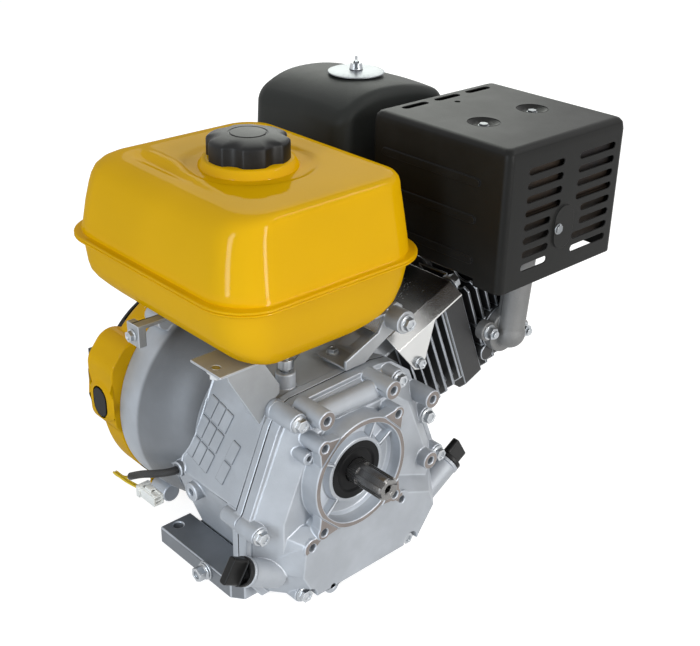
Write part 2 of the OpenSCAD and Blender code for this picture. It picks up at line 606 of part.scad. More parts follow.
module connecting_rod() color("gainsboro") at_bore() difference() {
  union() {
    translate([0, -12.6, crank_r]) rotate([-90, 0, 0]) cylinder(r = 28, h = 25.2);
    translate([0, -12.6, crank_r + rod_len]) rotate([-90, 0, 0]) cylinder(r = 16, h = 25.2);
    translate([0, 0, crank_r + 20]) linear_extrude(height = rod_len - 30)
      polygon([[-10, -7], [10, -7], [10, 7], [-10, 7]]);
  }
  translate([0, -20, crank_r]) rotate([-90, 0, 0]) cylinder(r = 18, h = 40);
  translate([0, -20, crank_r + rod_len]) rotate([-90, 0, 0]) cylinder(r = 10, h = 40);
}
module crankpin() color("lightsteelblue") at_bore() translate([0, -12.7, crank_r]) rotate([-90, 0, 0])
  cylinder(r = 17.98, h = 25.4);

module flywheel() color("dimgray") difference() {
  turn_y(0, shaft_h, [[0, 74], [24, 74], [24, 88], [flywheel_r - 14, 88], [flywheel_r - 14, 82],
    [flywheel_r, 82],
    [flywheel_r, 112], [flywheel_r - 8, 112], [flywheel_r - 12, 100], [30, 100], [26, 108], [0, 108]]);
  turn_y(0, shaft_h, [[0, 70], [15.05, 70], [11.05, 108.2], [0, 109]]);
}
module cooling_fan() color("black") {
  turn_y(0, shaft_h, [[28, 112.2], [flywheel_r - 1, 112.2], [flywheel_r - 1, 115], [28, 115]]);
  for (i = [0:blade_n - 1]) at_crank() spin(i * 360 / blade_n) translate([56, 114.5, 0])
    rotate([0, 24, 0])
    cube([flywheel_r - 60, 22, 2.4]);
}
module starter_cup() color("gray") difference() {
  turn_y(0, shaft_h, [[10, 115.2], [44, 115.2], [44, 148], [41, 148], [41, 118], [10, 118]]);
  for (a = [0:60:300]) at_crank() spin(a) translate([36, 124, -9]) cube([14, 18, 18]);
}
module flywheel_nut() color("gainsboro") {
  difference() {
    translate([0, 118.2, shaft_h]) rotate([-90, 0, 0]) cylinder(r = 15, h = 11, $fn = 6);
    rod_y(0, shaft_h, 9.02, 117, 132);
  }
  difference() {
    rod_y(0, shaft_h, 22, 108.4, 115);
    rod_y(0, shaft_h, 11.1, 108, 132);
  }
}

module fan_cover() color("gold") difference() {
  union() {
    turn_y(0, shaft_h, [[bell_r - 8, bell_rim + gap], [bell_r + 1, bell_rim + gap],
      [bell_r + 1, y_cowl - 16], [bell_r - 2, y_cowl - 8],
      [bell_r - 8, y_cowl - 2], [bell_r - 16, y_cowl], [0, y_cowl], [0, y_cowl - 30]]);
    for (a = lug_ang) at_crank() spin(a) rod_y(lug_r, 0, 10.5, bell_rim + gap, bell_rim + 3);
    hull() for (p = [[16, 8], [16, 60], [24, 70]])
      rod_y(p[0] - bell_r, p[1] + shaft_h - 12, 22, bell_rim + gap, y_cowl);
    translate(plug_at) rotate([0, -90, 0]) cylinder(r1 = 24, r2 = 19, h = 3);
  }
  turn_y(0, shaft_h, [[0, bell_rim - 1], [bell_r - 3, bell_rim - 1], [bell_r - 3, y_cowl - 14],
    [bell_r - 8, y_cowl - 5],
    [bell_r - 16, y_cowl - 3], [cowl_hole_r, y_cowl - 3], [cowl_hole_r, y_cowl + 1], [0, y_cowl + 1]]);
  for (a = lug_ang) at_crank() spin(a) rod_y(lug_r, 0, small_bolt_d / 2 + fit, bell_rim - 1,
    bell_rim + 4);
  for (a = recoil_ang) at_crank() spin(a)
    rod_y(recoil_r + 8, 0, small_bolt_d / 2 + fit, y_cowl - 6, y_cowl + 1);
  translate([plug_at[0] - 4, plug_at[1], plug_at[2]]) rotate([0, 90, 0]) linear_extrude(height = 12)
    polygon(pill(34, 24, 8));
  translate([sw_x - 8.5, y_cowl - 10, sw_z - 12]) cube([17, 12, 24]);
}
module fan_cover_plug() color("black") translate([plug_at[0] - 4, plug_at[1], plug_at[2]])
  rotate([0, 90, 0]) {
  translate([0, 0, 0.4]) linear_extrude(height = 11) polygon(pill(33.4, 23.4, 8));
}
module stop_switch() color("black") {
  difference() {
    union() {
      translate([sw_x - 8.2, y_cowl - 9.8, sw_z - 11.7]) cube([16.4, 10.4, 23.4]);
      translate([sw_x - 11, y_cowl + 0.2, sw_z - 15]) cube([22, 4.8, 30]);
    }
    translate([sw_x - 5.5, y_cowl - 6, sw_z - 9]) cube([11, 14, 18]);
  }
  translate([sw_x - 6, y_cowl + 1, sw_z]) rotate([0, 90, 0]) cylinder(r = 1.1, h = 12);
}
module switch_rocker() color("red") translate([sw_x - 5.2, y_cowl + 1, sw_z]) rotate([90, 0, 90])
  linear_extrude(height = 10.4)
  difference() {
    union() {
      circle(r = 3.6);
      rotate(-9) translate([0.6, -8]) square([5, 16]);
    }
    circle(r = 1.1 + run);
  }

module recoil_housing() color("black") difference() {
  union() {
    turn_y(0, shaft_h, [[0, y_cowl], [recoil_r + 3, y_cowl], [recoil_r + 3, y_cowl + 2],
      [recoil_r, y_cowl + 2], [recoil_r - 3, y_recoil - 8],
      [recoil_r - 10, y_recoil], [0, y_recoil]]);
    for (a = recoil_ang) at_crank() spin(a) prism_y(y_cowl, y_cowl + 2.2) {
      translate([recoil_r + 8, 0]) circle(r = 10);
      translate([recoil_r - 2, -10]) square([10, 20]);
    }
    at_crank() translate([handle_p[0], handle_p[1], handle_p[2]]) rotate([0, 90 - handle_dir, 0])
      translate([0, 0, -handle_in]) cylinder(r = 12, h = handle_in - 4);
  }
  turn_y(0, shaft_h, [[7, y_cowl - 1], [recoil_r - 4, y_cowl - 1], [recoil_r - 6, y_recoil - 8],
    [recoil_r - 12, y_recoil - 3], [7, y_recoil - 3]]);
  for (a = recoil_ang) at_crank() spin(a)
    rod_y(recoil_r + 8, 0, small_bolt_d / 2 + fit, y_cowl - 1, y_cowl + 4);
  for (a = [100:24:220]) for (i = [0:2]) at_crank() spin(a)
    translate([recoil_r - 10, y_cowl + 6 + i * 8, -14]) cube([20, 4, 28]);
  for (a = [0:15:345]) at_crank() spin(a) translate([34, y_recoil - 4, -2.6]) cube([40, 8, 5.2]);
  at_crank() translate([handle_p[0], handle_p[1], handle_p[2]]) rotate([0, 90 - handle_dir, 0])
    translate([0, 0, -60]) cylinder(r = 4, h = 70);
}
module recoil_reel() color("dimgray") difference() {
  turn_y(0, shaft_h, [[7 + run, reel_y0], [reel_r + 14, reel_y0], [reel_r + 14, reel_y0 + 2.5],
    [reel_r, reel_y0 + 4], [reel_r, reel_y0 + 14],
    [reel_r + 14, reel_y0 + 15.5], [reel_r + 14, reel_y0 + 18], [7 + run, reel_y0 + 18]]);
  for (a = [0:60:300]) at_crank() spin(a) rod_y(36, 0, 11, reel_y0 - 1, reel_y0 + 20);
}
module recoil_handle() color("black") at_crank() translate(handle_p) rotate([0, 90 - handle_dir, 0]) {
  translate([0, 0, -3.7]) cylinder(r1 = 9, r2 = 7, h = 18);
  translate([0, 0, -30]) cylinder(r = 3.6, h = 28);
  translate([-40, 0, 20]) rotate([0, 90, 0]) cylinder(r = 11, h = 80);
}

// Insets of the tank's left, front, right and back walls at a height, with the corner radius
upper_walls = [[0, 0, 0, 0, 0, 46], [52, 8.5, 9.6, 6.6, 10, 40], [68, 12.5, 13.4, 10.4, 15, 36],
  [75.4, 20, 20, 18, 23, 31], [79.8, 34, 33, 30, 38, 26]];
lower_walls = [[-0.25, 0, 0, 0, 0, 46], [-31, 4, 4, 9, 5, 44], [-42, 9, 5.6, 27, 10, 40],
  [-58, 24, 11, 56, 26, 34],
  [-71, 44, 30, 84, 48, 24]];
// Height of a layer above the seam, drawn in by the sheet where it is the inner face
function wall_z(z, k, t) = z * k - (z > 0 ? t + 0.1 : z < 0 ? -t : 0);
module tank_walls(walls, k, t) for (w = walls) layer(seam_z + wall_z(w[0], k, t),
  rr(tx0 + w[1] + t, ty0 + w[2] + t, tx1 - w[3] - t, ty1 - w[4] - t, w[5] - t));
module tank_upper() color("gold") difference() {
  union() {
    hull() tank_walls(upper_walls, tank_up / 80, 0);
    layer_lip(seam_z);
    translate([cap_at[0], cap_at[1], tank_top - 3])
      cylinder(r1 = cap_d / 2 + 9, r2 = cap_d / 2 + 3, h = 5);
    translate([cap_at[0], cap_at[1], tank_top - 2]) cylinder(r = cap_d / 2 - 8, h = 11);
  }
  hull() {
    tank_walls(upper_walls, tank_up / 80, tank_t);
    translate([0, 0, -1]) tank_walls([upper_walls[0]], 1, tank_t);
  }
  translate([cap_at[0], cap_at[1], tank_top - 20]) cylinder(r = cap_d / 2 - 10, h = 60);
}
module layer_lip(z) translate([0, 0, z]) linear_extrude(height = 1.6)
  polygon(rr(tx0 - seam_lip, ty0 - seam_lip, tx1 + seam_lip, ty1 + seam_lip, 50, 8));
module tank_lower() color("gold") difference() {
  union() {
    hull() tank_walls(lower_walls, tank_down / 71, 0);
    layer_lip(seam_z - 1.6);
  }
  hull() {
    tank_walls(lower_walls, tank_down / 71, tank_t);
    translate([0, 0, 1]) tank_walls([lower_walls[0]], 1, tank_t);
  }
}
module fuel_cap() color("black") translate([cap_at[0], cap_at[1], tank_top + 2 + gap]) difference() {
  union() {
    linear_extrude(height = 20) polygon(lobes(cap_d / 2, cap_lobes));
    translate([0, 0, 20]) linear_extrude(height = 2.6, scale = 0.93) polygon(lobes(cap_d / 2, cap_lobes));
    translate([0, 0, 22.5]) rotate_extrude() polygon([[0, 0], [cap_d / 2 - 8.5, 0], [cap_d / 2 - 12, 1.4],
      [cap_d / 2 - 20, 2.4], [cap_d / 2 - 21, 1.5], [cap_d / 2 - 23, 1.5], [cap_d / 2 - 24, 2.7],
        [0, 3.2]]);
  }
  translate([0, 0, -1]) cylinder(r = cap_d / 2 - 8 + gap, h = 12);
}

module tank_bracket_left() color("gray") difference() {
  union() {
    prism_y(-67, -64.6) polygon([[-116, tank_bot - 0.6], [-113, tank_bot - 12], [-79, deck_z - 25],
      [-66.5, deck_z - 9], [-54, deck_z + 1], [-54, deck_z + 10], [-76, tank_bot - 0.6]]);
    translate([-126, -72, tank_bot - 3]) cube([54, 45, 2.4]);
    translate([-80, -67, deck_z]) cube([26, 36, 2.4]);
  }
  translate([deck_x[0], br_y, deck_z - 5]) cylinder(r = small_bolt_d / 2 + fit, h = 20);
  translate([left_bolt[0], left_bolt[1], tank_bot - 5]) cylinder(r = big_bolt_d / 2 + fit, h = 8);
  for (b = cover_bolts) rod_y(b[0], b[1] + shaft_h, boss_r + 0.4, -70, -60);
}
module tank_bracket_right() color("gray") difference() {
  union() {
    prism_y(-76, -72.5) polygon([[22, deck_z], [48, deck_z], [66, deck_z + 12], [96, br_r[1] - 12],
      [98, br_r[1] + 8], [90, br_r[1] + 14],
      [76, br_r[1] + 10], [66, br_r[1] - 12], [46, deck_z + 20], [22, deck_z + 10]]);
    rod_y(br_r[0], br_r[1], 12, -95, -72.5);
    translate([22, -76, deck_z]) cube([26, 44, 2.4]);
    translate([60, -76, br_r[1] + 4]) cube([28, 40, 2.4]);
  }
  rod_y(br_r[0], br_r[1], big_bolt_d / 2 + fit, -96, -70);
  translate([deck_x[1], br_y, deck_z - 5]) cylinder(r = small_bolt_d / 2 + fit, h = 20);
}
module tank_bracket_rear() color("gray") difference() {
  union() {
    translate([-48, 52, rear_z]) cube([36, 17, 2.4]);
    translate([-48, 66.6, rear_z]) cube([36, 2.4, tank_bot - rear_z]);
    translate([-48, 44, tank_bot - 2.4]) cube([36, 25, 2.4]);
    translate([rear_lug[0], rear_lug[1], tank_bot - 5]) cube([-40 - rear_lug[0], 11, 4.4]);
    translate([rear_lug[0], rear_lug[1], tank_bot - 24]) cube([9, rear_lug[2], 23]);
  }
  translate([rear_lug[0] - 1, rear_lug[1] + 10, tank_bot - 13]) rotate([0, 90, 0])
    cylinder(r = small_bolt_d / 2 + fit, h = 11);
  translate([rear_bolt[0], rear_bolt[1], rear_z - 5]) cylinder(r = small_bolt_d / 2 + fit, h = 10);
  translate([rear_bolt[0], rear_bolt[1], tank_bot - 6]) cylinder(r = 8, h = 12);
}

// Upright walls of the guard, drawn in by t
module guard_wall(t, z0, z1) translate([0, 0, z0]) linear_extrude(height = z1 - z0)
  polygon(rr(gx0 + t, gy0 + t, gx1 - t, gy1 - t, 8 - t));
// Top of the guard with its rounded bends, drawn in by t
module guard_top(t, z0) hull() {
  layer(z0, rr(gx0 + t, gy0 + t, gx1 - t, gy1 - t, 8 - t));
  layer(gz1 - 5, rr(gx0 + 1.2 + t, gy0 + 1.2 + t, gx1 - 1.2 - t, gy1 - 1.2 - t, 7.6 - t));
  layer(gz1 - 1.8 - t, rr(gx0 + 4 + t, gy0 + 4 + t, gx1 - 4 - t, gy1 - 4 - t, 6.4 - t));
  layer(gz1 - 0.2 - t, rr(gx0 + 8.5 + t, gy0 + 8.5 + t, gx1 - 8.5 - t, gy1 - 8.5 - t, 4));
}
slot_pitch = (guard_z - 47) / (slot_rows - 1);
dish_x = [54, 129];
dish_y = -81;
dish_r = 18;
dish_d = 4;
// Lengths and middles of the front slots, shorter beside the raised screw pad
function slot_len(c, i) = c == 0 ? (i > 3 ? 40 : 54) : (i > 3 && i < 6 ? 48 : 58);
function slot_mid(c, i) = c == 0 ? gx0 + 57 - (i > 3 ? 7 : 0) : gx0 + 137 + (i > 3 && i < 6 ? 5 : 0);
module muffler_guard() color("black") difference() {
  union() {
    difference() {
      guard_top(0, gz1 - 12);
      guard_top(guard_t, gz1 - 13);
      for (x = dish_x) translate([gx0 + x, dish_y, gz1 - 3]) cylinder(r = dish_r - 1.8, h = 6);
    }
    for (x = dish_x) translate([gx0 + x, dish_y, gz1]) rotate_extrude()
      polygon([[3.4, -dish_d], [dish_r / 2, -dish_d],
      [dish_r - 1.8, -0.4], [dish_r, -0.4], [dish_r, -1.2], [dish_r - 1, -1.4],
        [dish_r / 2 + 0.6, -dish_d - guard_t],
      [3.4, -dish_d - guard_t]]);
    difference() {
      guard_wall(0, gz0, gz1 - 11.9);
      guard_wall(guard_t, gz0 - 1, gz1);
    }
    for (q = [[-62, gz1 - 39, 132], [-64, gz1 - 77, 122], [-66, gz1 - 119, 118]])
      translate([gx0 - 1.8, q[0], q[1]])
      rotate([90, 0, 90]) linear_extrude(height = 2.4) polygon(pill(q[2], 8));
    translate([gx0 + 91, gy0 + 0.6, gz0 + 50]) rotate([90, 90, 0]) linear_extrude(height = 2.4)
      polygon(pill(46, 30, 8));
  }
  for (c = [0, 1]) for (i = [0:slot_rows - 1])
    translate([slot_mid(c, i), gy0 + 4, gz1 - 26 - i * slot_pitch])
    rotate([90, 0, 0]) linear_extrude(height = 8) polygon(pill(slot_len(c, i), 7));
  for (c = [0, 1]) for (i = [0:slot_rows - 1])
    translate([gx1 - 4, gy0 + 52 + c * 78, gz1 - 26 - i * slot_pitch])
    rotate([90, 0, 90]) linear_extrude(height = 8) polygon(pill(58, 7));
  for (i = [0:2]) translate([gx0 + 44 + i * 48, gy1 - 18, gz1 - 3]) linear_extrude(height = 6)
    polygon(pill(36, 8));
  translate([gx0 + 88, gy1 - 36, gz1 - 4]) cylinder(r = 3, h = 8);
  translate([gx0 + 82, gy0 + 4, gz0 + 50]) rotate([90, 0, 0]) cylinder(r = 3.4, h = 8);
  translate([gx0 + 36, gy1 - 4, gz0 - 1]) cube([guard_x - 72, 8, 90]);
  translate([gx0 - 2, gy0 + 34, gz0 - 1]) cube([6, guard_y - 60, 9]);
}
module guard_screws() color("gainsboro") {
  for (x = dish_x) translate([gx0 + x, dish_y, gz1 - dish_d]) {
    cylinder(r = 6.2, h = 2.6);
    translate([0, 0, -12]) cylinder(r = 3.2, h = 12.1);
  }
  translate([gx0 + 82, gy0 - 1.8, gz0 + 50]) rotate([90, 0, 0]) {
    cylinder(r = 6.2, h = 2.6);
    translate([0, 0, -10]) cylinder(r = 3.2, h = 10.1);
  }
}
module muffler_layers(t) {
  layer(gz0 + 14 + t, rr(gx0 + 20 + t, gy0 + 20 + t, gx1 - 20 - t, gy1 - 20 - t, 22));
  layer(gz0 + 22 + t, rr(gx0 + 10 + t, gy0 + 10 + t, gx1 - 10 - t, gy1 - 10 - t, 24));
  layer(gz1 - 24 - t, rr(gx0 + 10 + t, gy0 + 10 + t, gx1 - 10 - t, gy1 - 10 - t, 24));
  layer(gz1 - 12.4 - t, rr(gx0 + 20 + t, gy0 + 20 + t, gx1 - 20 - t, gy1 - 20 - t, 22));
}
module muffler() color("saddlebrown") difference() {
  union() {
    hull() muffler_layers(0);
    translate([gx0 + 82, gy0 + guard_t + gap, gz0 + 50]) rotate([-90, 0, 0]) cylinder(r = 9, h = 16);
    for (x = dish_x) translate([gx0 + x, dish_y, gz1 - 14])
      cylinder(r = 8, h = 14 - dish_d - guard_t - gap);
    translate([gx1 - 20, gy1 - 60, gz0 + 80]) rotate([0, 90, 0]) cylinder(r = 16, h = 17);
  }
  hull() muffler_layers(2);
  for (x = dish_x) translate([gx0 + x, dish_y, gz1 - 17]) cylinder(r = 3.4, h = 18);
  translate([gx0 + 82, gy0, gz0 + 50]) rotate([-90, 0, 0]) cylinder(r = 3.4, h = 22);
  translate([gx1 - 22, gy1 - 60, gz0 + 80]) rotate([0, 90, 0]) cylinder(r = 13, h = 22);
  translate([exh_x + 10, elbow_y, gz0 + 10]) cylinder(d = elbow_d - 8, h = 16);
}
module exhaust_elbow() color("dimgray") difference() {
  union() {
    translate([exh_x, exh_face, exh_z]) spin(stud_a) prism_y(-11, -0.1) {
      circle(r = 25);
      translate([-stud_r, 0]) circle(r = 11);
      translate([stud_r, 0]) circle(r = 11);
      translate([-stud_r, -9]) square([2 * stud_r, 18]);
    }
    translate([exh_x, elbow_y, exh_z]) rotate([-90, 0, 0])
      cylinder(d = elbow_d + 1.4, h = exh_face - elbow_y - 2);
    translate([exh_x, elbow_y, exh_z]) sphere(d = elbow_d + 3.4);
    translate([exh_x, elbow_y, exh_z]) rotate([0, elbow_a, 0]) cylinder(d = elbow_d, h = gz0 + 8 - exh_z);
    translate([exh_x + 10, elbow_y, gz0 + 4]) cylinder(r = 30, h = 9.8);
  }
  translate([exh_x, elbow_y, exh_z]) rotate([-90, 0, 0]) cylinder(d = elbow_d - 8, h = 30);
  translate([exh_x, elbow_y, exh_z]) rotate([0, elbow_a, 0])
    cylinder(d = elbow_d - 9.4, h = gz0 + 30 - exh_z);
  for (s = [-1, 1]) translate([exh_x, elbow_y - 8, exh_z]) spin(stud_a) translate([s * stud_r, 0, 0])
    rotate([-90, 0, 0]) cylinder(r = 4 + fit, h = 40);
}
module exhaust_nuts() color("gainsboro") for (s = [-1, 1]) translate([exh_x, exh_face - 11, exh_z])
  spin(stud_a) translate([s * stud_r, 0, 0]) rotate([90, 0, 0]) {
  cylinder(r = 8.6, h = 1.6);
  cylinder(r = 12 / sqrt(3), h = 8, $fn = 6);
  translate([0, 0, -26]) cylinder(r = 4, h = 37);
}
module shroud_plate() color("gainsboro") at_bore() difference() {
  union() {
    translate([-cyl_up - 1.8, -fin_y + 11.4, deck_t - 72]) cube([1.5, 2 * fin_y - 26, 98]);
    translate([0, 0, deck_t - 72]) linear_extrude(height = 98)
      polygon([[-cyl_up - 1.8, -fin_y + 11.1], [-cyl_up + 11.1, -fin_y - 1.8],
      [-cyl_up + 13, -fin_y - 1.8], [-cyl_up + 13, -fin_y - 0.3], [-cyl_up + 11.7, -fin_y - 0.3],
        [-cyl_up - 0.3, -fin_y + 11.7],
      [-cyl_up - 0.3, -fin_y + 13], [-cyl_up - 1.8, -fin_y + 13]]);
    translate([0, -fin_y - 0.3, 0]) rotate([90, 0, 0]) linear_extrude(height = 1.5)
      polygon([[-cyl_up + 12, deck_t - 72], [-cyl_up + 12, deck_t - 16], [-10, deck_t - 44],
        [-4, deck_t - 52], [-10, deck_t - 60]]);
  }
  translate([-14, -fin_y + 10, deck_t - 52]) rotate([90, 0, 0])
    cylinder(r = small_bolt_d / 2 + fit, h = 20);
}

module carburettor() color("lightgray") difference() {
  union() {
    translate([inl_x, inl_face + 0.2, inl_z]) rotate([-90, 0, 0]) cylinder(r = 24, h = 6);
    translate([inl_x, inl_face, inl_z]) rotate([-90, 0, 0]) cylinder(r = throat_d / 2 + 6, h = 44);
    translate([inl_x - 16, inl_face + 10, inl_z - 26]) cube([32, 24, 40]);
    translate([inl_x, inl_face + 22, inl_z - 60]) rotate([0, 0, 37]) cylinder(r = 21.6, h = 34.6);
    translate([inl_x, inl_face + 22, inl_z - 66]) cylinder(r = 9, h = 8);
    translate([inl_x, inl_face + 36, inl_z]) rotate([-90, 0, 0]) cylinder(r = 26, h = 7.8);
    translate([inl_x, inl_face + 22, inl_z - 36]) rotate([0, 90, 0]) cylinder(r = 10, h = 32);
  }
  translate([inl_x, inl_face - 1, inl_z]) rotate([-90, 0, 0]) cylinder(d = throat_d, h = 50);
  translate([inl_x + 14, inl_face + 39.9, inl_z + 14]) rotate([0, 90, 0]) cylinder(r = 3 + run, h = 30);
  translate([inl_x + 20, inl_face + 22, inl_z - 36]) rotate([0, 90, 0]) cylinder(r = 4 + run, h = 30);
}
module choke_lever() color("black") translate([inl_x + 30, inl_face + 39.9, inl_z + 14])
  rotate([0, 90, 0]) {
  translate([0, 0, -12]) cylinder(r = 3, h = 15);
  translate([0, 0, 2]) linear_extrude(height = 3) polygon([[-4, -5], [4, -5], [3, 30], [-3, 30]]);
  translate([0, 26, 2]) cylinder(r = 5, h = 12);
}
module fuel_valve_lever() color("black") translate([inl_x + 32, inl_face + 22, inl_z - 36])
  rotate([0, 90, 0]) {
  translate([0, 0, -8]) cylinder(r = 4, h = 9);
  translate([0, 0, gap]) linear_extrude(height = 5) polygon([[-6, -7], [6, -7], [4, 26], [-4, 26]]);
}
module control_plate() color("gray") difference() {
  union() {
    prism_y(plate_y, plate_y + 2)
      polygon(lift([[96, 74], [136, 88], [140, 130], [134, 154], [112, 154], [104, 130]]));
    rod_y(lever_at[0], lever_at[1], 5, plate_y, plate_y + 4);
  }
  rod_y(lever_at[0], lever_at[1], 3 + run, plate_y - 1, plate_y + 8);
}
module throttle_lever() color("dimgray") translate([lever_at[0], plate_y + 4 + gap, lever_at[1]]) {
  prism_y(0, 2.4) polygon([[-7, -8], [7, -8], [4, 38], [-4, 38]]);
  rotate([90, 0, 0]) cylinder(r = 3, h = 7);
  translate([0, 0, 34]) rotate([-90, 0, 0]) cylinder(r = 6, h = 16);
}
module governor_arm() color("gray") {
  translate([gov_at[0], gov_at[1], shaft_h + 66]) cylinder(r = 4, h = gov_z - shaft_h - 60);
  translate([gov_at[0], gov_at[1], gov_z - 8]) cylinder(r = 8, h = 10);
  translate([gov_at[0], gov_at[1], gov_z - 4]) rotate([0, 0, 30]) translate([0, -7, 0])
    cube([92, 14, 2.4]);
}

// Fall of the cover's top from its crown, across its width
function crown(k) = k < 0.42 ? 25 * pow((0.42 - k) / 0.42, 2.3) : 21 * pow((k - 0.42) / 0.58, 2.2);
module arch(t, z0) hull() for (i = [0:8]) for (back = [0, 1])
  translate([fx0 + t + 14 + i / 8 * (filter_x - 2 * t - 28),
  back == 1 ? fy1 - t - 14 : fy0 + t + 14, 0]) {
    translate([0, 0, filter_top - t - crown(i / 8) - back * 4 - 14]) sphere(r = 13.9, $fn = 20);
    translate([0, 0, z0]) cylinder(r = 14, h = 1, $fn = 24);
  }
module air_cleaner_cover() color("dimgray") difference() {
  arch(0, filter_joint);
  arch(3, filter_joint - 4);
  translate([stud_at[0], stud_at[1], filter_top - 40]) cylinder(r = 4, h = 60);
}
module air_cleaner_case() color("dimgray") difference() {
  union() {
    translate([0, 0, filter_joint - 22]) linear_extrude(height = 22 - gap)
      polygon(rr(fx0 + 2, fy0 + 2, fx1 - 2, fy1 - 2, 14));
    translate([inl_x - 27, inl_face + 44, inl_z - 27]) cube([54, 40, filter_joint - 20 - inl_z + 27]);
    translate([stud_at[0], stud_at[1], filter_joint - 20])
      cylinder(r = 3, h = filter_top - filter_joint + 32);
  }
  difference() {
    translate([0, 0, filter_joint - 18]) linear_extrude(height = 22)
      polygon(rr(fx0 + 6, fy0 + 6, fx1 - 6, fy1 - 6, 10));
    translate([stud_at[0], stud_at[1], filter_joint - 20]) cylinder(r = 3, h = 40);
  }
  translate([inl_x - 22, inl_face + 49, inl_z - 22]) cube([44, 30, filter_joint - inl_z + 30]);
  translate([inl_x, inl_face + 40, inl_z]) rotate([-90, 0, 0]) cylinder(d = throat_d, h = 20);
}
module air_filter() color("khaki") translate([stud_at[0], stud_at[1], filter_joint - 17.8]) difference() {
  cylinder(r = 56, h = filter_h);
  translate([0, 0, -1]) cylinder(r = 32, h = filter_h - 4);
  translate([0, 0, filter_h / 2]) cylinder(r = 5, h = filter_h);
}
module cover_disc() color("gainsboro") translate([stud_at[0], stud_at[1], filter_top - 0.2])
  difference() {
  rotate_extrude() polygon([[0, 0], [31, 0], [31, 1.6], [24, 3.4], [10, 3.4], [0, 3.4]]);
  translate([0, 0, -1]) cylinder(r = 3.2, h = 8);
}
module wing_nut() color("gainsboro") translate([stud_at[0], stud_at[1], filter_top + 3.2 + gap])
  difference() {
  union() {
    cylinder(r1 = 7.5, r2 = 6, h = 7);
    for (s = [-1, 1]) rotate([90, 0, 47]) translate([0, 0, -1.5]) linear_extrude(height = 3)
      polygon([[s * 3, 0.5], [s * 7, 1.5], [s * 12, 7], [s * 13, 11], [s * 9, 12], [s * 3, 6]]);
  }
  translate([0, 0, -1]) cylinder(r = 3 + run, h = 12);
}

module oil_cap() {
  translate([0, 0, gap]) cylinder(r = 14.5, h = 5);
  translate([0, 0, gap + 4]) linear_extrude(height = 19) polygon(rr(-14, -4.5, 14, 4.5, 3));
  translate([0, 0, -16]) cylinder(d = neck_bore - 2 * run, h = 17);
  translate([0, 0, -38]) cylinder(r = 3, h = 23);
}
module oil_cap_left() color("black") at_neck(neck_l, -1) oil_cap();
module oil_cap_right() color("black") at_neck(neck_r, 1) oil_cap();
module drain_plug() color("gainsboro") translate([-foot_out, -20, 11]) rotate([0, -90, 0]) {
  cylinder(r = 10, h = 1.8);
  translate([0, 0, 1.6]) flange_bolt(12, 14, 9, 20);
}

lead_pts = [[-109.4, 31, shaft_h - 27], [-113, 31, shaft_h - 27], [-119, 34.5, shaft_h - 28],
  [-123.5, 43, shaft_h - 31.5],
  [-126, 54, shaft_h - 36.5], [-127, 66, shaft_h - 42.5], [-127.5, 78, shaft_h - 49.5],
    [-128, 90, shaft_h - 57]];
wire_pts = [[-126.5, 90.6, shaft_h - 57.5], [-127, 97, shaft_h - 61.5], [-128.6, 103, shaft_h - 64],
  [-131.6, 107.4, shaft_h - 62],
  [-134.6, 107.6, shaft_h - 57.4], [-136.3, 102.4, shaft_h - 54.8], [-136.5, 93, shaft_h - 54.4],
    [-135.8, 82, shaft_h - 54.8],
  [-133.6, 72, shaft_h - 55.6], [-131.8, 64.6, shaft_h - 56]];
function tangent(p, i) = let (n = len(p), d = p[min(i + 1, n - 1)] - p[max(i - 1, 0)]) d / norm(d);
function ring_at(p, i, r, k) = let (t = tangent(p, i), u0 = cross(t, [0, 0, 1]), u = u0 / norm(u0),
  v = cross(t, u))
  [for (j = [0:k - 1]) p[i] + r * (cos(360 * j / k) * u + sin(360 * j / k) * v)];
module tube(p, r, k) {
  n = len(p);
  polyhedron(points = [for (i = [0:n - 1]) each ring_at(p, i, r, k)],
    faces = concat([[for (j = [0:k - 1]) k - 1 - j]], [[for (j = [0:k - 1]) (n - 1) * k + j]],
      [for (i = [0:n - 2]) for (j = [0:k - 1]) each [[i * k + j, i * k + (j + 1) % k,
        (i + 1) * k + (j + 1) % k],
        [i * k + j, (i + 1) * k + (j + 1) % k, (i + 1) * k + j]]]));
}
module charge_lead() color("black") tube(lead_pts, 4, 10);
module lead_wires() color("yellow") {
  tube(wire_pts, 1.2, 8);
  translate([-3, 0, 0.4]) tube(wire_pts, 1.2, 8);
}
module lead_connector() color("white") translate([-138, 34, shaft_h - 63]) difference() {
  cube([14, 30, 14]);
  translate([3, -1, 3]) cube([8, 9, 8]);
}

crankcase();
side_cover();
cover_gasket();
m8_flange_bolts();
m6_flange_bolts();
cylinder_head();
head_bolts();
rocker_cover();
spark_plug();
main_bearings();
shaft_seals();
crankshaft();
crank_gear();
camshaft();
piston();
piston_rings();
wrist_pin();
connecting_rod();
crankpin();
flywheel();
cooling_fan();
starter_cup();
flywheel_nut();
fan_cover();
fan_cover_plug();
stop_switch();
switch_rocker();
recoil_housing();
recoil_reel();
recoil_handle();
tank_upper();
tank_lower();
fuel_cap();
tank_bracket_left();
tank_bracket_right();
tank_bracket_rear();
muffler_guard();
guard_screws();
muffler();
exhaust_elbow();
exhaust_nuts();
shroud_plate();
carburettor();
choke_lever();
fuel_valve_lever();
control_plate();
throttle_lever();
governor_arm();
air_cleaner_cover();
air_cleaner_case();
air_filter();
cover_disc();
wing_nut();
oil_cap_left();
oil_cap_right();
drain_plug();
charge_lead();
lead_wires();
lead_connector();
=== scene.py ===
import json
from math import atan2, cos, hypot, pi, radians, sin

import bmesh
import bpy
from bpy.props import FloatProperty, FloatVectorProperty, IntProperty, PointerProperty
from bpy.types import NodeSocket, Operator, Panel, PropertyGroup
from mathutils import Euler, Matrix, Vector
from mathutils.bvhtree import BVHTree


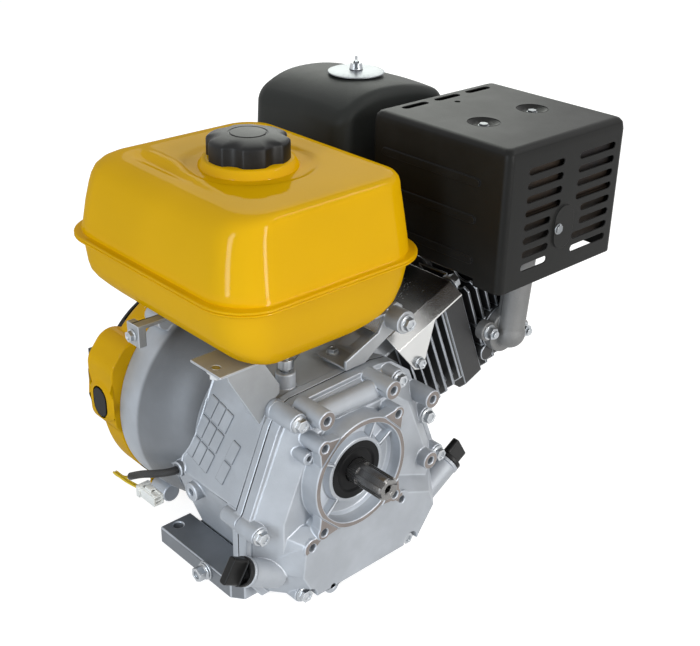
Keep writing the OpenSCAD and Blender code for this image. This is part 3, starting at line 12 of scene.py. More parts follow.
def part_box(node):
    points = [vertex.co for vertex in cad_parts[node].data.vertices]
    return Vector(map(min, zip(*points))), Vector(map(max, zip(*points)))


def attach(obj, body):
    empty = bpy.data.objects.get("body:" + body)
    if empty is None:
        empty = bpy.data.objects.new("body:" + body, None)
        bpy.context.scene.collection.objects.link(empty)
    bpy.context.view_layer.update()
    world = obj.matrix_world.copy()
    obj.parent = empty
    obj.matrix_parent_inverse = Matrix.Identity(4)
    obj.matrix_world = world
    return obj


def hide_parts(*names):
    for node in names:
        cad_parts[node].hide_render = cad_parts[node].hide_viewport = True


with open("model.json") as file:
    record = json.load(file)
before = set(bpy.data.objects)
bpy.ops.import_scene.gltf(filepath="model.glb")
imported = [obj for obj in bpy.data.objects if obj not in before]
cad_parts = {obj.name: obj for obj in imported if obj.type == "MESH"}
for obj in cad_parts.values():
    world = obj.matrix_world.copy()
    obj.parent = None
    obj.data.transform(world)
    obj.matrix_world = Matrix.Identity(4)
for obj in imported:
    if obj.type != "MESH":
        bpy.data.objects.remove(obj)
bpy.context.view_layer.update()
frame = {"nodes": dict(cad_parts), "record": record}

bl_info = {
    "name": "Small petrol engine",
    "version": (1, 0, 0),
    "blender": (4, 5, 0),
    "location": "View3D > Sidebar > Engine",
    "description": "Dresses the solids of a single-cylinder petrol engine with paint and bare metal",
    "category": "Object",
}

RECORD = frame["record"]
BODY = {node: body for body, nodes in RECORD["behaviour"]["bodies"].items() for node in nodes}
MM = 0.001
SHAFT_H = 132
TILT = radians(22)


# Sizes and colours a user would change

def colour(name, description, default):
    return FloatVectorProperty(name=name, description=description, default=default, subtype="COLOR",
                               size=3, min=0, max=1)


def length(name, description, default):
    return FloatProperty(name=name, description=description, default=default, min=0, unit="LENGTH",
                         precision=5)


def count(name, description, default, low, high):
    return IntProperty(name=name, description=description, default=default, min=low, max=high)


class EngineColours(PropertyGroup):
    """Colours of the finishes"""
    tank: colour("Tank paint", "Gloss paint of the tank and fan cover", (0.72, 0.4, 0.002))
    casting: colour("Casting", "Blasted and painted alloy castings", (0.42, 0.445, 0.48))
    machined: colour("Machined faces", "Cut faces of the castings", (0.25, 0.22, 0.205))
    fins: colour("Fin paint", "Heat paint on the cylinder and head", (0.02, 0.02, 0.021))
    black_paint: colour("Black paint", "Satin paint of the guard and air cleaner", (0.0075, 0.0075, 0.007))
    plastic: colour("Black plastic", "Moulded caps and levers", (0.007, 0.007, 0.007))
    zinc: colour("Zinc plate", "Plated bolts and nuts", (0.49, 0.505, 0.52))
    steel: colour("Turned steel", "Output shaft and running gear", (0.22, 0.215, 0.21))
    sheet: colour("Bright sheet", "Bare rolled sheet", (0.62, 0.62, 0.61))
    floor: colour("Floor", "Light that the floor gives back", (0.42, 0.42, 0.42))


class EngineSizes(PropertyGroup):
    """Sizes of what is added to the solids"""
    cast_edge: length("Casting edge", "Radius on the edges of the castings", 0.0013)
    sheet_edge: length("Sheet edge", "Radius on the edges of sheet and plastic", 0.0005)
    bolt_edge: length("Bolt edge", "Radius on the edges of fasteners", 0.0003)
    lip_width: length("Tank lip", "Width of the rolled lip round the tank", 0.0065)
    tile_width: length("Tile width", "Width of a raised tile on the crankcase wall", 0.0116)
    tile_length: length("Tile length", "Length of a tile up the wall", 0.0212)
    tile_rise: length("Tile rise", "Height of the wall tiles", 0.0016)
    tile_rows: count("Tile rows", "Tiles in a column", 3, 1, 6)
    tile_columns: count("Tile columns", "Columns of wall tiles", 3, 1, 6)
    cap_lobes: count("Cap lobes", "Grips round the fuel cap", 6, 4, 16)


# Nodes and shader maths

def feed(tree, socket, value):
    """Links a socket to what feeds it, or sets its value."""
    value = getattr(value, "socket", value)
    if isinstance(value, NodeSocket):
        tree.links.new(value, socket)
    else:
        socket.default_value = value


def add_node(tree, kind, settings=None, sockets=None):
    """A node: its settings first, then what feeds its inputs."""
    made = tree.nodes.new(kind)
    for name, value in (settings or {}).items():
        if name == "stops":
            for place, tint in value[2:]:
                made.color_ramp.elements.new(place)
            for element, (place, tint) in zip(made.color_ramp.elements, value):
                element.position = place
                element.color = tint
        else:
            setattr(made, name, value)
    for name, value in (sockets or {}).items():
        feed(tree, made.inputs[name], value)
    return made


class Value:
    """A shader socket that takes part in Python arithmetic."""

    def __init__(self, finish, socket):
        self.finish = finish
        self.socket = socket

    def maths(self, operation, *terms):
        return self.finish.node("Math", {"operation": operation}, dict(enumerate(terms)))

    def __add__(self, other):
        return self.maths("ADD", self, other)

    def __sub__(self, other):
        return self.maths("SUBTRACT", self, other)

    def __rsub__(self, other):
        return self.maths("SUBTRACT", other, self)

    def __mul__(self, other):
        return self.maths("MULTIPLY", self, other)

    def step(self, low, high):
        """0 below low and 1 above high."""
        return self.finish.node("MapRange", {"interpolation_type": "SMOOTHSTEP"},
                                {"Value": self, "From Min": low, "From Max": high})

    __radd__ = __add__
    __rmul__ = __mul__


class Finish:
    """A material built from shader nodes."""

    def __init__(self, name):
        self.material = bpy.data.materials.new(name)
        self.material.use_nodes = True
        self.tree = self.material.node_tree
        self.shader = self.tree.nodes["Principled BSDF"]
        self.place = self.node("TexCoord", out="Object")

    def node(self, kind, settings=None, sockets=None, out=0):
        return Value(self, add_node(self.tree, "ShaderNode" + kind, settings, sockets).outputs[out])

    def noise(self, scale, detail=3.0, rough=0.5, place=None):
        return self.node("TexNoise", None, {
            "Vector": place or self.place, "Scale": scale, "Detail": detail, "Roughness": rough})

    def stretched(self, scale, place=None):
        return self.node("Mapping", None, {"Vector": place or self.place, "Scale": scale})

    def bands(self, place, scale, bend=0.0):
        return self.node("TexWave", {"wave_type": "BANDS", "bands_direction": "DIAGONAL"},
                         {"Vector": place, "Scale": scale, "Distortion": bend}, out="Fac")

    def mix(self, factor, low, high):
        return self.node("Mix", {"data_type": "RGBA"}, {0: factor, 6: low, 7: high}, out=2)

    def set(self, tone, rough, relief=None, **others):
        """Feeds the shader. A relief is a bump's height, its strength and its depth in metres."""
        others.update(Base_Color=tone, Roughness=rough)
        if relief:
            bump = dict(zip(("Height", "Strength", "Distance"), relief))
            others["Normal"] = self.node("Bump", None, bump)
        for name, value in others.items():
            feed(self.tree, self.shader.inputs[name.replace("_", " ")], value)
        return self.material


def shade(tint, *factors):
    """The tint times one factor, or times one for each channel."""
    scale = factors * 3 if len(factors) == 1 else factors
    return tuple(c * s for c, s in zip(tint, scale)) + (1,)


def lifted(tint, *by):
    """The tint with some light added to each channel."""
    return tuple(c + b for c, b in zip(tint, by)) + (1,)


# Painted shade in the bell's hollow: where the bell's rim starts and ends, and the heights between which
# the painted shade deepens, in metres
RIM = (0.081, 0.088)
DEEP = (0.1, 0.24)
HOLLOW_SHADE_TINT = (0.01, 0.011, 0.012, 1)


def cast_finish(name, tint, metal=0.3, rough=0.48, grain=0.35, painted_hollow_shade=False):
    """Blasted casting: pitted grain, soft mottling, and, where asked for, painted shade in the hollow of
    the bell.
    """
    f = Finish(name)
    pits = f.noise(1500, 2, 0.6)
    grit = f.noise(420, 4, 0.65)
    mottle = f.noise(28, 3, 0.55)
    cloud = f.noise(7, 2, 0.5)
    tone = f.mix(mottle.step(0.3, 0.75) * 0.7 + grit * 0.3, shade(tint, 0.86), shade(tint, 1.08))
    tone = f.mix(cloud.step(0.55, 0.8) * 0.28, tone, shade(tint, 0.82, 0.83, 0.86))
    # Painted shade: short of its rim the bell is darkened towards a near-black tint, the more so the higher
    # it lies.
    if painted_hollow_shade:
        rim, deep = (f.node("SeparateXYZ", None, {"Vector": f.place}, out=axis).step(*ends)
                     for axis, ends in (("Y", RIM), ("Z", DEEP)))
        tone = f.mix((1 - rim) * (0.56 + 0.16 * deep), tone, HOLLOW_SHADE_TINT)
    return f.set(tone, rough + 0.16 * grit + 0.08 * mottle - 0.08, (pits * 0.5 + grit * 0.8, grain, 0.0005),
                 Metallic=metal)


def machined_finish(name, tint, rough=0.27, axis_scale=(900, 900, 60), cut=0.16):
    """Cut metal with fine tool lines."""
    f = Finish(name)
    lines = f.noise(1, 3, 0.6, f.stretched(axis_scale))
    stain = f.noise(40, 3, 0.5)
    tone = f.mix(stain.step(0.35, 0.75), shade(tint, 0.82), shade(tint, 1.06))
    return f.set(tone, rough + cut * lines + 0.08 * stain, (lines, cut, 0.0002), Metallic=0.92)


def gloss_paint(name, tint):
    """Gloss paint with orange peel, dust and slightly deeper colour in places."""
    f = Finish(name)
    peel = f.noise(260, 2, 0.45)
    drift = f.noise(6, 2, 0.5)
    dust = f.noise(900, 2, 0.7)
    tone = f.mix(drift.step(0.3, 0.7), shade(tint, 0.94), shade(tint, 1.03))
    rough = 0.3 + 0.1 * dust.step(0.55, 0.8) + 0.05 * drift
    return f.set(tone, rough, (peel, 0.06, 0.0004), Specular_IOR_Level=0.0, Coat_Weight=0.085,
                 Coat_IOR=1.9, Coat_Roughness=0.06)


def satin_black(name, tint, rough=0.4, grain=0.12, scale=700):
    """Baked black paint with a fine texture and faint dust."""
    f = Finish(name)
    texture = f.noise(scale, 3, 0.6)
    dust = f.noise(16, 4, 0.6)
    specks = f.noise(1300, 1, 0.5)
    tone = f.mix(dust.step(0.45, 0.85) * 0.5 + specks.step(0.68, 0.8) * 0.3, shade(tint, 1),
                 lifted(tint, 0.009, 0.0088, 0.0082))
    return f.set(tone, rough + 0.16 * dust - 0.04, (texture, grain, 0.0004), Specular_IOR_Level=0.14)


def plated(name, tint, rough=0.26):
    """Plated steel with a cloudy, faintly coloured film."""
    f = Finish(name)
    film = f.noise(85, 3, 0.55)
    scratch = f.noise(1, 2, 0.6, f.stretched((1400, 1400, 240)))
    tone = f.mix(film.step(0.35, 0.7), shade(tint, 0.8, 0.82, 0.84), shade(tint, 1.08))
    return f.set(tone, rough + 0.16 * film + 0.06 * scratch, (scratch, 0.1, 0.0002), Metallic=1.0)


def rolled(name, tint, rough=0.2, along=(12, 500, 500)):
    """Rolled sheet with long faint lines."""
    f = Finish(name)
    lines = f.noise(1, 3, 0.6, f.stretched(along))
    cloud = f.noise(22, 2, 0.5)
    tone = f.mix(cloud, shade(tint, 0.88), shade(tint, 1.08))
    return f.set(tone, rough + 0.14 * lines + 0.1 * cloud, (lines, 0.07, 0.0002), Metallic=1.0)


def moulded(name, tint, rough=0.42, grain=0.2, shine=0.22):
    """Moulded plastic or rubber with a fine spark-eroded texture."""
    f = Finish(name)
    texture = f.noise(1100, 2, 0.6)
    wear = f.noise(30, 3, 0.6)
    tone = f.mix(wear.step(0.4, 0.8), shade(tint, 1), lifted(tint, 0.007, 0.007, 0.007))
    return f.set(tone, rough + 0.12 * wear, (texture, grain, 0.0003), Specular_IOR_Level=shine)


HEAT_BROWN = (0.032, 0.022, 0.015, 1)
HEAT_BLUE = (0.016, 0.017, 0.021, 1)


def heat_stained(name, tint):
    """Thin sheet that heat has browned and blued."""
    f = Finish(name)
    heat = f.noise(14, 4, 0.6)
    fine = f.noise(300, 3, 0.6)
    stops = [(0.3, shade(tint, 0.6)), (0.5, HEAT_BROWN), (0.7, HEAT_BLUE)]
    tone = f.node("ValToRGB", {"stops": stops}, {"Fac": heat})
    return f.set(tone, 0.38 + 0.25 * fine, (fine, 0.15, 0.0003), Metallic=0.8)


def pleated(name, tint):
    """Pleated paper."""
    f = Finish(name)
    folds = f.bands(f.place, 90, 0.4)
    fibre = f.noise(800, 3, 0.7)
    # Painted shade: darker where the folds' relief is low.
    tone = f.mix(folds, shade(tint, 0.7), shade(tint, 1.05))
    return f.set(tone, 0.8 + 0.1 * fibre, (folds + 0.2 * fibre, 0.4, 0.001))


STRANDS = 9


def woven_sleeve(name, tint):
    """Braided sleeve: two sets of strands that cross, along the sleeve's own map."""
    f = Finish(name)
    place = f.node("UVMap", {"uv_map": "along"})
    weave = f.bands(place, STRANDS) * f.bands(f.stretched((1, -1, 1), place), STRANDS)
    # Painted light and shade: lighter where the strands' relief is high, darker between them.
    tone = f.mix(weave, shade(tint, 0.6), lifted(tint, 0.02, 0.02, 0.02))
    return f.set(tone, 0.55 + 0.2 * weave, (weave, 0.6, 0.0006))


# Each finish: how it is made, its tint, then what the maker takes after the tint. A tint is a colour, the
# name of one of the user's colours, or such a name and a factor.
FINISH_TABLE = {
    "cast_alloy": (cast_finish, "casting"),
    # Brighter casting on the rounded edges: partly wear, partly a painted highlight.
    "rubbed_edge": (cast_finish, ("casting", 1.14), 0.5, 0.4, 0.2),
    "machined_face": (machined_finish, "machined"),
    # The bell's casting, with painted shade in its hollow.
    "bell_cast": (cast_finish, "casting", 0.3, 0.48, 0.35, True),
    # The foot's casting, darker: partly the foot's own darker tone, partly painted shade.
    "foot_cast": (cast_finish, ("casting", 0.46), 0.3, 0.46, 0.35),
    # Smoother casting for the ring's dish, half as bright again: painted light.
    "dish_cast": (cast_finish, ("casting", 1.5), 0.3, 0.4, 0.15),
    # Darker casting for the tiles' sides: painted shade in the grooves.
    "groove_cast": (cast_finish, ("casting", 0.64), 0.3, 0.5, 0.3),
    "fin_black": (cast_finish, "fins", 0.1, 0.5, 0.4),
    # Light metal on the fins' rounded edges: partly bare worn metal, partly a painted highlight.
    "fin_edge": (cast_finish, ("casting", 0.85), 0.8, 0.34, 0.2),
    "elbow_iron": (cast_finish, (0.19, 0.19, 0.188), 0.4, 0.5, 1.0),
    "bracket_cast": (cast_finish, (0.36, 0.37, 0.38), 0.35, 0.42, 0.3),
    "iron": (cast_finish, (0.14, 0.135, 0.13), 0.5, 0.5, 0.8),
    "carb_alloy": (cast_finish, (0.5, 0.495, 0.47), 0.75, 0.36, 0.25),
    "tank_yellow": (gloss_paint, "tank"),
    "black_sheet": (satin_black, "black_paint"),
    "grained_black": (satin_black, (0.023, 0.025, 0.0235), 0.46, 0.3, 520),
    "black_plastic": (moulded, "plastic", 0.36),
    "seal_rubber": (moulded, (0.005, 0.005, 0.0055), 0.36, 0.1, 0.1),
    "gasket": (moulded, (0.03, 0.03, 0.03), 0.7, 0.3),
    "red_plastic": (moulded, (0.5, 0.02, 0.02), 0.3, 0.1),
    "connector_white": (moulded, (0.86, 0.86, 0.82), 0.35, 0.1),
    "wire_yellow": (moulded, (0.7, 0.5, 0.03), 0.35, 0.1),
    "sleeve": (woven_sleeve, (0.016, 0.016, 0.017)),
    "zinc_steel": (plated, "zinc"),
    # A darker copy of the zinc plating, so that the screws under the lamps don't glare: painted shade.
    "screw_steel": (plated, (0.26, 0.27, 0.28)),
    "plug_steel": (plated, (0.7, 0.7, 0.68)),
    "machined_steel": (machined_finish, "steel", 0.2, (700, 60, 700), 0.05),
    "piston_alloy": (machined_finish, (0.66, 0.66, 0.66), 0.25),
    "ring_iron": (machined_finish, (0.25, 0.25, 0.25), 0.3),
    "bright_sheet": (rolled, "sheet", 0.12),
    # A darker copy of the bright sheet, so that the disc under the lamps doesn't glare: painted shade.
    "plated_disc": (rolled, (0.27, 0.285, 0.3), 0.27),
    "muffler_sheet": (heat_stained, (0.03, 0.027, 0.025)),
    "filter_paper": (pleated, (0.6, 0.53, 0.38)),
}
FINISHES = {}


def finish(name):
    """The finish of that name, made the first time it is asked for."""
    if name not in FINISHES:
        maker, tint, *rest = FINISH_TABLE[name]
        factor = 1
        if len(tint) == 2:
            tint, factor = tint
        if isinstance(tint, str):
            tint = [c * factor for c in getattr(bpy.context.scene.engine_colours, tint)]
        FINISHES[name] = maker(name, tint, *rest)
    return FINISHES[name]


# Mesh helpers

def add_object(name, mesh):
    made = bpy.data.objects.new(name, mesh)
    bpy.context.scene.collection.objects.link(made)
    return made


def mesh_of(name, points, faces):
    mesh = bpy.data.meshes.new(name)
    mesh.from_pydata(points, [], faces)
    return mesh


def settle(obj):
    """Turns an object and its modifiers into a plain mesh."""
    graph = bpy.context.evaluated_depsgraph_get()
    mesh = bpy.data.meshes.new_from_object(obj.evaluated_get(graph), preserve_all_data_layers=True,
                                           depsgraph=graph)
    obj.modifiers.clear()
    obj.data = mesh
    return obj


def smooth(mesh, degrees):
    mesh.polygons.foreach_set("use_smooth", [True] * len(mesh.polygons))
    mesh.set_sharp_from_angle(angle=radians(degrees))


def face_outwards(mesh):
    work = bmesh.new()
    work.from_mesh(mesh)
    bmesh.ops.recalc_face_normals(work, faces=work.faces)
    work.to_mesh(mesh)
    work.free()


EDGE_ANGLE = 30
JOIN_WITHIN = 2e-6
FLAT_WITHIN = radians(0.4)


def round_edges(obj, width, segments=2):
    bevel = obj.modifiers.new("edges", "BEVEL")
    bevel.width = width
    bevel.segments = segments
    bevel.limit_method = "ANGLE"
    bevel.angle_limit = radians(EDGE_ANGLE)
    return bevel


def merged_copy(node):
    """A copy of a solid's mesh with its triangles joined and its flat faces made whole."""
    work = bmesh.new()
    work.from_mesh(frame["nodes"][node].data)
    bmesh.ops.remove_doubles(work, verts=work.verts, dist=JOIN_WITHIN)
    bmesh.ops.dissolve_limit(work, angle_limit=FLAT_WITHIN, verts=work.verts, edges=work.edges)
    work.verts.index_update()
    points = [v.co.copy() for v in work.verts]
    faces = [[v.index for v in f.verts] for f in work.faces]
    work.free()
    return mesh_of(node + "_dressed", points, faces)


def put(obj, node):
    """Seats a finished piece: it rides with the solid it stands for."""
    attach(obj, BODY[node])
    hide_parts(node)


def skin(mesh, paint, degrees, node):
    """Seats a mesh made here in the place of a solid."""
    mesh.materials.append(finish(paint))
    smooth(mesh, degrees)
    put(add_object(mesh.name, mesh), node)


def tree_of(mesh):
    return BVHTree.FromPolygons([v.co for v in mesh.vertices], [p.vertices for p in mesh.polygons])


def pull_back(mesh, solid, reach):
    """Puts back on the solid's skin the points that a bevel has thrown off it."""
    for vertex in mesh.vertices:
        place, normal, face, far = solid.find_nearest(vertex.co)
        if far > reach:
            vertex.co = place


EDGE_REACH = 1.3


def dressed(node, finishes, edge, wear=None, faces=None, segments=2):
    """A copy of a solid with rounded edges in the finish wear, which brightens them: partly wear, partly a
    painted highlight. faces(centre in mm, normal) names others.
    """
    mesh = merged_copy(node)
    for name in finishes:
        mesh.materials.append(finish(name))
    if faces:
        for polygon in mesh.polygons:
            polygon.material_index = finishes.index(faces(polygon.center / MM, polygon.normal))
    smooth(mesh, EDGE_ANGLE)
    solid = tree_of(mesh)
    obj = add_object(node + "_dressed", mesh)
    bevel = round_edges(obj, edge, segments)
    bevel.use_clamp_overlap = False
    # The rounded edges take the brighter edge finish: partly wear, partly a painted highlight.
    if wear:
        bevel.material = finishes.index(wear)
    obj.modifiers.new("normals", "WEIGHTED_NORMAL").keep_sharp = True
    settle(obj)
    pull_back(obj.data, solid, edge * EDGE_REACH)
    put(obj, node)


def dress(edge, **paints):
    """Dresses the named solids, each in one finish."""
    for node, paint in paints.items():
        dressed(node, [paint], edge)


def loft(name, rings):
    """A closed skin over rings of equal count; the first and last rings are closed by fans."""
    around = len(rings[0])
    points = [p for ring in rings for p in ring]
    faces = []
    for low in range(0, (len(rings) - 1) * around, around):
        for i in range(around):
            j = (i + 1) % around
            faces.append((low + i, low + j, low + around + j, low + around + i))
    for ring, flip in ((0, True), (len(rings) - 1, False)):
        hub = len(points)
        points.append(sum(rings[ring], Vector()) / around)
        for i in range(around):
            pair = (ring * around + i, ring * around + (i + 1) % around)
            faces.append((pair[1], pair[0], hub) if flip else (pair[0], pair[1], hub))
    mesh = mesh_of(name, [p * MM for p in points], faces)
    face_outwards(mesh)
    return mesh


def ease(low, high, value):
    """0 at low and 1 at high, with a soft start and end."""
    t = min(max((value - low) / (high - low), 0), 1)
    return t * t * (3 - 2 * t)


def round_ring(steps, reach, z):
    """A ring round the Z axis; reach(angle) is its radius there."""
    angles = [2 * pi * i / steps for i in range(steps)]
    return [Vector((reach(a) * cos(a), reach(a) * sin(a), z)) for a in angles]


def oblong(x0, y0, x1, y1, radius, arc, edge, base=0, rises=(0, 0, 0, 0)):
    """A ring round a rounded oblong. The rises are those of its front, right, back and left sides."""
    corners = ((x1 - radius, y0 + radius), (x1 - radius, y1 - radius),
               (x0 + radius, y1 - radius), (x0 + radius, y0 + radius))
    bends = []
    for index, (cx, cy) in enumerate(corners):
        for k in range(arc + 1):
            a = radians(90 * (index - 1) + 90 * k / arc)
            w = ease(0, 1, k / arc)
            z = rises[index] * (1 - w) + rises[(index + 1) % 4] * w
            bends.append(Vector((cx + radius * cos(a), cy + radius * sin(a), base + z)))
    ring = []
    for i, p in enumerate(bends):
        steps = edge if i % (arc + 1) == arc else 1
        ring += [p.lerp(bends[(i + 1) % len(bends)], k / steps) for k in range(steps)]
    return ring


# Stage

CAMERA_AT = Vector((-0.6344, -0.7777, 0.7514))
CAMERA_TURN = radians(43.27)
CAMERA_DIP = radians(26.66)
CAMERA_ROLL = radians(1.22)
CAMERA_LENS = 57.86
SENSOR_WIDTH = 36
NEAREST = 0.02
FLOOR_SIZE = 14
FLOOR_GLOW = 0.85
WORLD_LIGHT = 0.34
# Name, place, aim, width, power, tint and, for an upright oblong, height
LAMPS = [
    ("edge", (1.15, -0.75, 1.75), (0, 0, 0.35), 0.8, 5, (1, 1, 1), 0.14),
    ("front", (0.35, -2.1, 0.78), (0.05, 0, 0.35), 0.32, 26.5, (1, 0.99, 0.97), 1.5),
    ("left", (-2.0, -0.5, 0.78), (0, 0, 0.35), 0.42, 27, (0.84, 0.92, 1), 1.5),
    ("sheen", (1.45, 1.6, 1.45), (0.1, 0.1, 0.35), 1.5, 14, (0.95, 1, 0.92), None),
]


def lamp(name, place, aim, size, power, tint, tall):
    """A soft lamp: a disc, or an oblong where a height is given."""
    light = bpy.data.lights.new(name, "AREA")
    light.shape = "RECTANGLE" if tall else "DISK"
    light.size = size
    if tall:
        light.size_y = tall
    light.energy = power
    light.color = tint
    obj = add_object(name, light)
    obj.location = place
    obj.rotation_euler = (Vector(aim) - Vector(place)).to_track_quat("-Z", "Y").to_euler()


def seen_directly(tree):
    """1 where the background is seen, straight or in a reflection, and 0 where it only lights."""
    path = add_node(tree, "ShaderNodeLightPath").outputs
    seen = path["Is Camera Ray"]
    for name in ("Is Glossy Ray", "Is Transmission Ray"):
        most = add_node(tree, "ShaderNodeMath", {"operation": "MAXIMUM"}, {0: seen, 1: path[name]})
        seen = most.outputs[0]
    return seen


def floor_finish(tint):
    """A pale floor: white to the eye but for the shadow that lies on it."""
    f = Finish("floor")
    tone = f.mix(f.noise(3, 2, 0.5), shade(tint, 0.98), shade(tint, 1.02))
    f.set(tone, 0.8, Specular_IOR_Level=0.1)
    level = f.node("MapRange", None, {"Value": seen_directly(f.tree), "To Max": FLOOR_GLOW})
    glow = f.node("Emission", None, {"Strength": level})
    both = f.node("AddShader", None, {0: f.shader.outputs[0], 1: glow})
    f.tree.links.new(both.socket, f.tree.nodes["Material Output"].inputs["Surface"])
    return f.material


class ENGINE_OT_stage(Operator):
    """Camera at the photograph's angle, pale floor and soft light"""
    bl_idname = "engine.stage"
    bl_label = "Stage"

    def execute(self, context):
        scene = context.scene
        scene.view_settings.view_transform = "Standard"
        lens = bpy.data.cameras.new("camera")
        lens.sensor_fit = "HORIZONTAL"
        lens.sensor_width = SENSOR_WIDTH
        lens.lens = CAMERA_LENS
        lens.clip_start = NEAREST
        camera = add_object("camera", lens)
        turn = Euler((radians(90) - CAMERA_DIP, 0, -CAMERA_TURN)).to_matrix()
        turn = turn @ Matrix.Rotation(CAMERA_ROLL, 3, "Z")
        camera.matrix_world = Matrix.Translation(CAMERA_AT) @ turn.to_4x4()
        scene.camera = camera

        bpy.ops.mesh.primitive_plane_add(size=FLOOR_SIZE)
        floor = context.object
        floor.name = "floor"
        floor.data.materials.append(floor_finish(tuple(scene.engine_colours.floor)))

        world = bpy.data.worlds.new("studio")
        world.use_nodes = True
        scene.world = world
        tree = world.node_tree
        level = add_node(tree, "ShaderNodeMapRange", None, {
            "Value": seen_directly(tree), "To Min": WORLD_LIGHT, "To Max": 1.0})
        back = tree.nodes["Background"]
        tree.links.new(level.outputs[0], back.inputs["Strength"])
        back.inputs["Color"].default_value = (1, 1, 1, 1)
        for row in LAMPS:
            lamp(*row)
        return {"FINISHED"}


# Charging lead

LEAD_POINTS = [(-109.4, 31, 105), (-113, 31, 105), (-119, 34.5, 104), (-123.5, 43, 100.5), (-126, 54, 95.5),
               (-127, 66, 89.5), (-127.5, 78, 82.5), (-128, 90, 75)]
WIRE_POINTS = [(-126.5, 90.6, 74.5), (-127, 97, 70.5), (-128.6, 103, 68), (-131.6, 107.4, 70),
               (-134.6, 107.6, 74.6), (-136.3, 102.4, 77.2), (-136.5, 93, 77.6), (-135.8, 82, 77.2),
               (-133.6, 72, 76.4), (-131.8, 64.6, 76)]
WIRE_STEP = (-3, 0, 0.4)
WIRE_R = 0.0012
SLEEVE_R = 0.004


def smooth_route(points, steps):
    """Points on a smooth curve through the given ones, in metres."""
    pts = [Vector(p) * MM for p in points]
    route = []
    for i in range(len(pts) - 1):
        a = pts[max(i - 1, 0)]
        b, c = pts[i], pts[i + 1]
        d = pts[min(i + 2, len(pts) - 1)]
        for s in range(steps):
            t = s / steps
            route.append(0.5 * (2 * b + (c - a) * t + (2 * a - 5 * b + 4 * c - d) * t * t
                                + (3 * b - a - 3 * c + d) * t ** 3))
    route.append(pts[-1])
    return route


def route_length(route):
    return sum((b - a).length for a, b in zip(route, route[1:]))


MAP_STRETCH = 6


def tube(name, route, radius, sides, paint):
    """A closed tube along a route, with a map that runs along it."""
    points, faces, maps = [], [], []
    normal = Vector((0, 0, 1))
    travelled = [route_length(route[:i + 1]) for i in range(len(route))]
    for i, p in enumerate(route):
        ahead = (route[min(i + 1, len(route) - 1)] - route[max(i - 1, 0)]).normalized()
        normal = (normal - ahead * normal.dot(ahead)).normalized()
        across = ahead.cross(normal)
        for k in range(sides):
            a = 2 * pi * k / sides
            points.append(p + radius * (normal * cos(a) + across * sin(a)))
    for i in range(len(route) - 1):
        for k in range(sides):
            n = (k + 1) % sides
            faces.append((i * sides + k, i * sides + n, (i + 1) * sides + n, (i + 1) * sides + k))
            low, high = (travelled[j] / radius / MAP_STRETCH for j in (i, i + 1))
            left, right = k / sides, (k + 1) / sides
            maps.append(((left, low), (right, low), (right, high), (left, high)))
    last = (len(route) - 1) * sides
    faces.append(tuple(range(sides - 1, -1, -1)))
    faces.append(tuple(range(last, last + sides)))
    maps += [tuple((0.5, 0.0) for k in range(sides))] * 2
    mesh = mesh_of(name, points, faces)
    layer = mesh.uv_layers.new(name="along")
    for polygon, corners in zip(mesh.polygons, maps):
        for loop, corner in zip(polygon.loop_indices, corners):
            layer.data[loop].uv = corner
    face_outwards(mesh)
    smooth(mesh, degrees=60)
    mesh.materials.append(finish(paint))
    return add_object(name, mesh)


def box_object(name, low, high):
    """An upright box between two corners in mm."""
    work = bmesh.new()
    bmesh.ops.create_cube(work, size=1)
    for vertex in work.verts:
        vertex.co = Vector(high[i] if c > 0 else low[i] for i, c in enumerate(vertex.co)) * MM
    mesh = bpy.data.meshes.new(name)
    work.to_mesh(mesh)
    work.free()
    return add_object(name, mesh)


def boxed_shape(name, first, changes, edge):
    """A moulding made of boxes: each change adds a box to the first or cuts one out of it."""
    shape = box_object(name, *first)
    for operation, low, high in changes:
        other = box_object("box", low, high)
        change = shape.modifiers.new("change", "BOOLEAN")
        change.operation = operation
        change.solver = "EXACT"
        change.object = other
        settle(shape)
        bpy.data.objects.remove(other)
    round_edges(shape, edge)
    settle(shape)
    smooth(shape.data, degrees=40)
    return shape


CONNECTOR_BODY = ((-137, 34, 70), (-125, 60, 81))
CONNECTOR_CHANGES = [
    ("UNION", (-138.6, 58.6, 69.2), (-123.4, 63.8, 82.2)),
    ("UNION", (-139.6, 56.2, 73.4), (-122.4, 60.2, 77.6)),
    ("UNION", (-134.4, 43.5, 80.5), (-127.6, 53.5, 84.6)),
    ("UNION", (-135.2, 35, 80.6), (-133.6, 58, 82)),
    ("UNION", (-128.4, 35, 80.6), (-126.8, 58, 82)),
    ("DIFFERENCE", (-132.8, 42, 81.6), (-129.2, 55, 83.4)),
    ("DIFFERENCE", (-135.2, 33, 76.3), (-126.8, 43, 79.2)),
    ("DIFFERENCE", (-135.2, 33, 71.8), (-126.8, 43, 74.7)),
]
PIN = ((-132.2, 35.4, 77.3), (-129.8, 43.6, 78.2))
OTHER_PIN = ("UNION", (-132.2, 35.4, 72.8), (-129.8, 43.6, 73.7))
PIN_EDGE = 0.4


